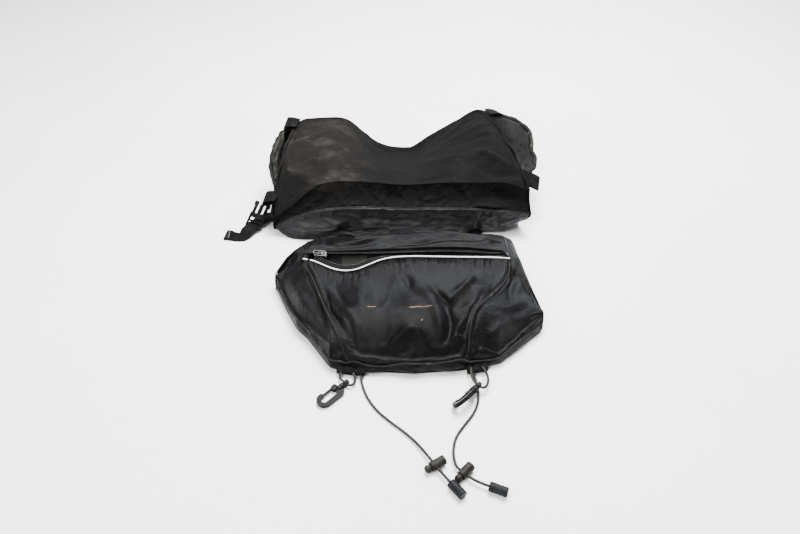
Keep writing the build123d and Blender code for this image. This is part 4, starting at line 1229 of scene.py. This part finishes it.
def teeth(name, edge, outward):
    """Coil teeth: one small link, copied along an edge of the tape."""
    pitch = 0.0021
    deselect()
    bpy.ops.mesh.primitive_torus_add(
        major_radius=0.00095, minor_radius=0.00036, major_segments=8, minor_segments=5,
        rotation=(0, math.pi / 2, 0),
    )
    link = bpy.context.object
    bpy.ops.object.transform_apply(location=False, rotation=True, scale=False)
    shape = [vertex.co.copy() for vertex in link.data.vertices]
    faces = [tuple(face.vertices) for face in link.data.polygons]
    bpy.data.objects.remove(link)
    points, shells = [], []
    count = int((mouth_right - mouth_left - 0.006) / pitch)
    for index in range(count):
        x = mouth_left + 0.003 + index * pitch
        y, z = edge(x)
        shells.append(len(points))
        points += [Vector((x + co.x, y + outward * 0.0008 + co.y * 1.25, z + co.z)) for co in shape]
    mesh = bpy.data.meshes.new(name)
    mesh.from_pydata(points, [], [tuple(start + i for i in face) for start in shells for face in faces])
    piece = bpy.data.objects.new(name, mesh)
    bpy.context.collection.objects.link(piece)
    deselect()
    piece.select_set(True)
    bpy.context.view_layer.objects.active = piece
    bpy.ops.object.shade_smooth()
    return piece


coil_front = teeth("zip_coil_front", front_coil, 1)
settle(coil_front, "pouch", "zip_coil", coil_plastic, "zip_coils")
coil_rear = teeth("zip_coil_rear", rear_coil, -1)
settle(coil_rear, "pouch", "zip_coil", coil_plastic)

# Inside, a plain lining shows through the open mouth, with a sewn-in patch.
inner_lining = Finish("grey_green_lining", roughness=0.8, specular_ior_level=0.1)
inner_weave = inner_lining.weave(0.0007)
inner_grime = inner_lining.cloud(0.012, 4).rise(0.35, 0.65)
inner_tone = inner_lining.mix(inner_weave.rise(-0.5, 0.6), (0.0075, 0.0078, 0.006), (0.0155, 0.016, 0.012))
inner_lining.feed("Base Color", inner_lining.mix(inner_grime * 0.7, inner_tone, (0.007, 0.007, 0.006)))


def lining_spot(u, v):
    """The lining that shows through the mouth, hanging just under its two edges."""
    x = mouth_left + 0.004 + (mouth_right - mouth_left - 0.008) * u
    front_y, front_z = front_coil(x)
    rear_y, rear_z = rear_coil(x)
    near_lip = Vector((x, front_y - 0.002, front_z - 0.0030))
    far_lip = Vector((x, rear_y + 0.003, rear_z - 0.0030))
    spot = near_lip.lerp(far_lip, v)
    spot.z -= 0.008 * math.sin(math.pi * v) ** 0.5
    return spot


def patch_spot(u, v):
    x = -0.090 + 0.040 * u
    share = (x - mouth_left - 0.004) / (mouth_right - mouth_left - 0.008)
    return lining_spot(share, 0.12 + 0.80 * v) + Vector((0, 0, 0.0011 + 0.0006 * math.sin(u * 9)))


mouth_lining = cloth_sheet("pouch_mouth_lining", 120, 8, lining_spot, (0.29, 0.03), 0.0005)
settle(mouth_lining, "pouch", "coated_cloth", zip_tape)
patch = cloth_sheet("pouch_lining_patch", 30, 16, patch_spot, (0.040, 0.024), 0.0005)
settle(patch, "pouch", "coated_cloth", inner_lining)

# ---------------------------------------------------------------- HARD FITTINGS
# Moulded acetal: the buckle's male half, the snap hooks with their eyes and gates, the spring
# cord locks and the cord caps. They keep their moulded shapes and take a worn satin finish.
plastics = {
    "black_acetal": ((0.0032, 0.0030, 0.0028), (0.0105, 0.0095, 0.0085), 0.40),
    "grey_brown_acetal": ((0.0095, 0.0083, 0.0072), (0.025, 0.022, 0.0185), 0.46),
    "bluish_cap_rubber": ((0.0040, 0.0043, 0.0054), (0.013, 0.0142, 0.0172), 0.50),
}
plastic_finishes = {}
for plastic_name, (deep, worn, rough) in plastics.items():
    plastic = Finish(plastic_name, roughness=rough, specular_ior_level=0.10)
    scuff = plastic.cloud(0.009, 4, 0.6).rise(0.42, 0.72)
    plastic.feed("Base Color", plastic.mix(scuff, deep, worn))
    plastic.feed("Roughness", scuff * 0.16 + rough)
    plastic.bump((plastic.cloud(0.0009, 2), 0.00012), (plastic.cloud(0.005, 3), 0.0003))
    plastic_finishes[plastic_name] = plastic

metal = Finish("plated_zip_metal", roughness=0.34, metallic=1.0)
tarnish = metal.cloud(0.003, 4).rise(0.4, 0.7)
metal.feed("Base Color", metal.mix(tarnish, (0.20, 0.195, 0.19), (0.07, 0.068, 0.065)))
metal.feed("Roughness", tarnish * 0.25 + 0.28)
metal.bump((metal.cloud(0.0008, 2), 0.00008))

node_finishes = {
    "black_acetal": [
        "buckle_male_half", "hook_eye_left", "hook_eye_right", "snap_hook_left", "snap_hook_right",
        "hook_gate_left", "hook_gate_right", "zip_pull_tab", "saddle_base_board", "pouch_board",
    ],
    "grey_brown_acetal": ["cord_lock_left", "cord_lock_right", "lock_button_left", "lock_button_right"],
    "bluish_cap_rubber": ["cord_cap_left", "cord_cap_right"],
}
for plastic_name, nodes in node_finishes.items():
    for node in nodes:
        wear(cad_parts[node], plastic_finishes[plastic_name])
for node in ("zip_slider", "zip_pull_ring", "lock_spring_left", "lock_spring_right"):
    wear(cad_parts[node], metal)
wear(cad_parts["lobe_pads"], foam)
wear(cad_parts["zip_stops"], coil_plastic)

# A lock's spring shortens as its button is pressed, against the closed end of the barrel. Here each spring
# only gets a mesh of its own, and the share of its length that would be left is worked out; the spring is
# not shortened.
button_travel = 0.003
for side, push in (("left", Vector((0.8348, 0.5506, 0))), ("right", Vector((0.6854, 0.7282, 0)))):
    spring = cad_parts[f"lock_spring_{side}"]
    spots = [spring.matrix_world @ vertex.co for vertex in spring.data.vertices]
    far = max(spots, key=push.dot)
    near = min(spots, key=push.dot)
    keep = 1 - button_travel / (far - near).dot(push)
    tuple(push)
    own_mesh(spring)

# ---------------------------------------------------------------- WEBBING
# 25 mm ribbed webbing: a folded tab at each corner of the saddle bag, the buckle strap with
# its hemmed tail, the two links to the pouch and the short tabs that grip the cords.
webbing = Finish("ribbed_webbing", roughness=0.85, specular_ior_level=0.08)
web_along, web_across, _ = webbing.axes("UV")
rib_rows = (web_across * (2 * math.pi / 0.0016)).sine()
rib_picks = (web_along * (2 * math.pi / 0.0012)).sine()
web_wear = webbing.cloud(0.012, 4, 0.6).rise(0.5, 0.75)
web_ribs = (rib_rows + rib_picks * 0.6).rise(-0.9, 1.0)
web_tone = webbing.mix(web_ribs, (0.0026, 0.0026, 0.0028), (0.0078, 0.0078, 0.0082))
webbing.feed("Base Color", webbing.mix(web_wear * 0.3, web_tone, (0.050, 0.044, 0.037)))
webbing.bump((rib_rows, 0.00035), (rib_picks, 0.00015))
web_width = 0.025
web_thick = 0.0019


def strap(name, path, sides, width=web_width, thick=web_thick, columns=60):
    """Flat webbing along a path; sides gives its width direction at each point."""
    centres = [Vector(point) for point in path]
    widths = [Vector(side).normalized() for side in sides]
    total = sum((after - before).length for before, after in zip(centres, centres[1:]))
    last = len(centres) - 1

    def spot(u, v):
        place = u * last
        index = min(int(place), last - 1)
        share = place - index
        share = share * share * (3 - 2 * share) * 0.25 + share * 0.75
        centre = centres[index].lerp(centres[index + 1], share)
        across = widths[index].lerp(widths[index + 1], share).normalized()
        return centre + across * (v - 0.5) * width

    return cloth_sheet(name, columns, 8, spot, (total, width), thick)


def folded_tab(name, root, outward, across, reach, drop, turn=0.0):
    """A loop of webbing sewn flat at its root and folded over at its tip."""
    root, outward, across = Vector(root), Vector(outward).normalized(), Vector(across).normalized()
    top = outward.cross(across).normalized()
    if top.z < 0:
        top = -top
    path, sides = [], []
    open_end = 0.0026
    upper = [(0.0, 0.0028), (0.35, 0.0034), (0.7, open_end + 0.001), (0.94, open_end), (1.0, 0.0)]
    for share, rise in upper + [(share, -rise) for share, rise in reversed(upper[:-1])]:
        centre = root + outward * reach * share + top * rise
        centre.z -= drop * share ** 1.6
        path.append(centre)
        sides.append(across + top * turn * share)
    piece = strap(name, path, sides, columns=70)
    settle(piece, "saddle_bag", "webbing", webbing, name.replace("_loop", ""))
    return piece


tab_folds = {
    # root at the end wall, way out, way across, reach, droop, twist
    "front_left": ((-0.2125, -0.061, 0.052), (-1, 0.10, 0.10), (0.18, 1, 0.1), 0.0225, 0.005, 0.25),
    "front_right": ((0.2070, -0.010, 0.066), (1, -0.30, 0.0), (0.15, 0.80, 0.60), 0.0420, 0.010, 0.10),
    "rear_left": ((-0.1870, 0.086, 0.1150), (-1, 0.05, 0.16), (0.18, 1, 0.15), 0.0230, 0.002, 0.2),
    "rear_right": ((0.1600, 0.098, 0.1330), (0.9, 0.35, -0.05), (-0.35, 1, 0.0), 0.0260, 0.004, -0.2),
}
for tab_name, (root, outward, across, reach, drop, turn) in tab_folds.items():
    folded_tab(f"webbing_tab_{tab_name}_loop", root, outward, across, reach, drop, turn=turn)
    seam_from = Vector(root) + Vector(outward).normalized() * 0.0075 - Vector(across).normalized() * 0.010
    seam_to = seam_from + Vector(across).normalized() * 0.020
    rise = Vector((0, 0, 0.0050 - drop * 0.15))
    row = [seam_from.lerp(seam_to, step / 10) + rise for step in range(11)]
    stitches(f"tab_stitches_{tab_name}", row, "saddle_bag", pitch=0.0026)

strap_path = [
    (-0.2060, -0.0478, 0.0092), (-0.2200, -0.0516, 0.0092), (-0.2330, -0.0551, 0.0092),
    (-0.2415, -0.0590, 0.0091), (-0.2475, -0.0665, 0.0091), (-0.2540, -0.0768, 0.0091),
    (-0.2600, -0.0872, 0.0091), (-0.2652, -0.0962, 0.0088), (-0.2686, -0.1018, 0.0050),
    (-0.2730, -0.1050, 0.0021), (-0.2800, -0.1048, 0.0012), (-0.2900, -0.1022, 0.0014),
    (-0.2960, -0.1008, 0.0020), (-0.3026, -0.0998, 0.0016),
]
strap_sides = [
    (0.26, -0.965, 0), (0.26, -0.965, 0), (0.32, -0.947, 0), (0.62, -0.785, 0), (0.82, -0.57, 0),
    (0.867, -0.498, 0), (0.867, -0.498, 0), (0.86, -0.51, 0.05), (0.76, -0.65, 0.04), (0.52, -0.85, 0.02),
    (0.20, -0.98, 0), (0.02, -1, 0), (-0.05, -1, 0.03), (-0.08, -1, 0),
]
buckle_strap = strap("buckle_strap_webbing", strap_path, strap_sides, columns=140)
settle(buckle_strap, "saddle_bag", "webbing", webbing, "buckle_strap")
hem_path = [
    (-0.2905, -0.1021, 0.0030), (-0.2960, -0.1008, 0.0037),
    (-0.3018, -0.0999, 0.0034), (-0.3034, -0.0997, 0.0020),
]
hem_sides = [(0, -1, 0), (-0.05, -1, 0.03), (-0.08, -1, 0), (-0.08, -1, 0)]
strap_hem = strap("buckle_strap_hem", hem_path, hem_sides, width=0.0246, thick=0.0014, columns=20)
settle(strap_hem, "saddle_bag", "webbing", webbing)
pale_thread = Finish("pale_sewing_thread", roughness=0.6)
pale_tone = pale_thread.cloud(0.002, 2).rise(0.4, 0.6)
pale_thread.feed("Base Color", pale_thread.mix(pale_tone, (0.20, 0.19, 0.18), (0.34, 0.32, 0.30)))
hem_row = [
    Vector((-0.2952 - 0.0009 * step / 10, -0.1116 + 0.0215 * step / 10, 0.0046)) for step in range(11)
]
hem_stitches = stitches("buckle_strap_hem_stitches", hem_row, "saddle_bag", pitch=0.0026)
wear(hem_stitches, pale_thread)

strip_path = [
    (-0.2180, -0.0745, 0.044), (-0.2215, -0.0755, 0.034),
    (-0.2262, -0.0765, 0.020), (-0.2300, -0.0770, 0.007),
]
strip_sides = [(0.1, 1, 0)] * 4
corner_strip = strap("corner_strip_tape", strip_path, strip_sides, width=0.006, thick=0.0016, columns=30)
settle(corner_strip, "saddle_bag", "webbing", webbing, "corner_strip")

# The links run from the saddle bag at one end to the pouch at the other, and ride on neither body.
for side_name, place in (("left", -0.095), ("right", 0.128)):
    front = -0.106 if side_name == "left" else -0.098
    link_path = [
        (place, front + 0.004, 0.0082), (place, front - 0.006, 0.0080), (place, -0.1200, 0.0068),
        (place, -0.1300, 0.0066), (place, -0.1400, 0.0078), (place, -0.1500, 0.0120),
        (place, -0.1535, 0.0175),
    ]
    link = strap(f"link_strap_{side_name}_webbing", link_path, [(1, 0, 0)] * 7, columns=60)
    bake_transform(link)
    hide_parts(f"link_strap_{side_name}")
    wear(link, webbing)

# Short folded tabs under the hem grip the cords.
tab_grips = {"left": (-0.0865, -0.0475, -0.4055, -0.4105), "right": (0.0915, 0.1205, -0.4065, -0.4015)}
for side_name, (first, last, first_y, last_y) in tab_grips.items():
    slope = (last_y - first_y) / (last - first)

    def grip_spot(u, v, first=first, last=last, first_y=first_y, slope=slope):
        x = first + (last - first) * u
        y = first_y + slope * (x - first)
        turn = math.pi * (0.5 - v)
        bulge = 0.0038 + 0.0008 * math.sin(u * 17)
        out = 0.0102 * math.cos(turn) ** 0.6
        return Vector((x, y - out, 0.0062 + bulge * math.sin(turn) * 1.2))

    grip = cloth_sheet(f"cord_tab_{side_name}_webbing", 40, 24, grip_spot, (0.039, 0.025), 0.0012, flip=True)
    settle(grip, "pouch", "webbing", webbing, f"cord_tab_{side_name}")

# Fine tan scratches on the coated front, and frayed tufts of thread at three seams.
scratch = Finish("tan_scratch", roughness=0.8)
scratch_tone = scratch.cloud(0.004, 3).rise(0.4, 0.6)
scratch.feed("Base Color", scratch.mix(scratch_tone, (0.20, 0.12, 0.06), (0.42, 0.28, 0.15)))
scratch_lines = [
    ((-0.0448, -0.3480), (-0.0336, -0.3465)),
    ((0.0126, -0.3535), (0.0434, -0.3515)),
    ((0.0290, -0.3712), (0.0310, -0.3692)),
]
for index, (start, end) in enumerate(scratch_lines):
    spots = []
    for step in range(9):
        x = start[0] + (end[0] - start[0]) * step / 8
        y = start[1] + (end[1] - start[1]) * step / 8 + 0.0006 * math.sin(step * 2.1 + index)
        spots.append(on_front(x, y, 0.00005))
    rolled_edge(f"front_scratch_{index + 1}", spots, 0.00028, "pouch", scratch)

random.seed(7)
tuft_places = [(0.1690, -0.247), (0.1180, -0.375), (-0.158, -0.268)]
for index, (x, y) in enumerate(tuft_places):
    for strand in range(7):
        root = on_front(x + random.uniform(-0.003, 0.003), y + random.uniform(-0.004, 0.004), 0.0003)
        lean = Vector((random.uniform(-1, 1), random.uniform(-1, 1), random.uniform(0.2, 0.9))).normalized()
        side_way = Vector((random.uniform(-1, 1), random.uniform(-1, 1), 0))
        tip = root + lean * random.uniform(0.004, 0.008)
        spots = [root, root.lerp(tip, 0.5) + side_way * 0.0015, tip, tip + side_way * 0.001 - lean * 0.001]
        tuft_name = f"thread_tuft_{index + 1}_{strand + 1}"
        rolled_edge(tuft_name, spots, 0.00035, "pouch", stitch_finish)
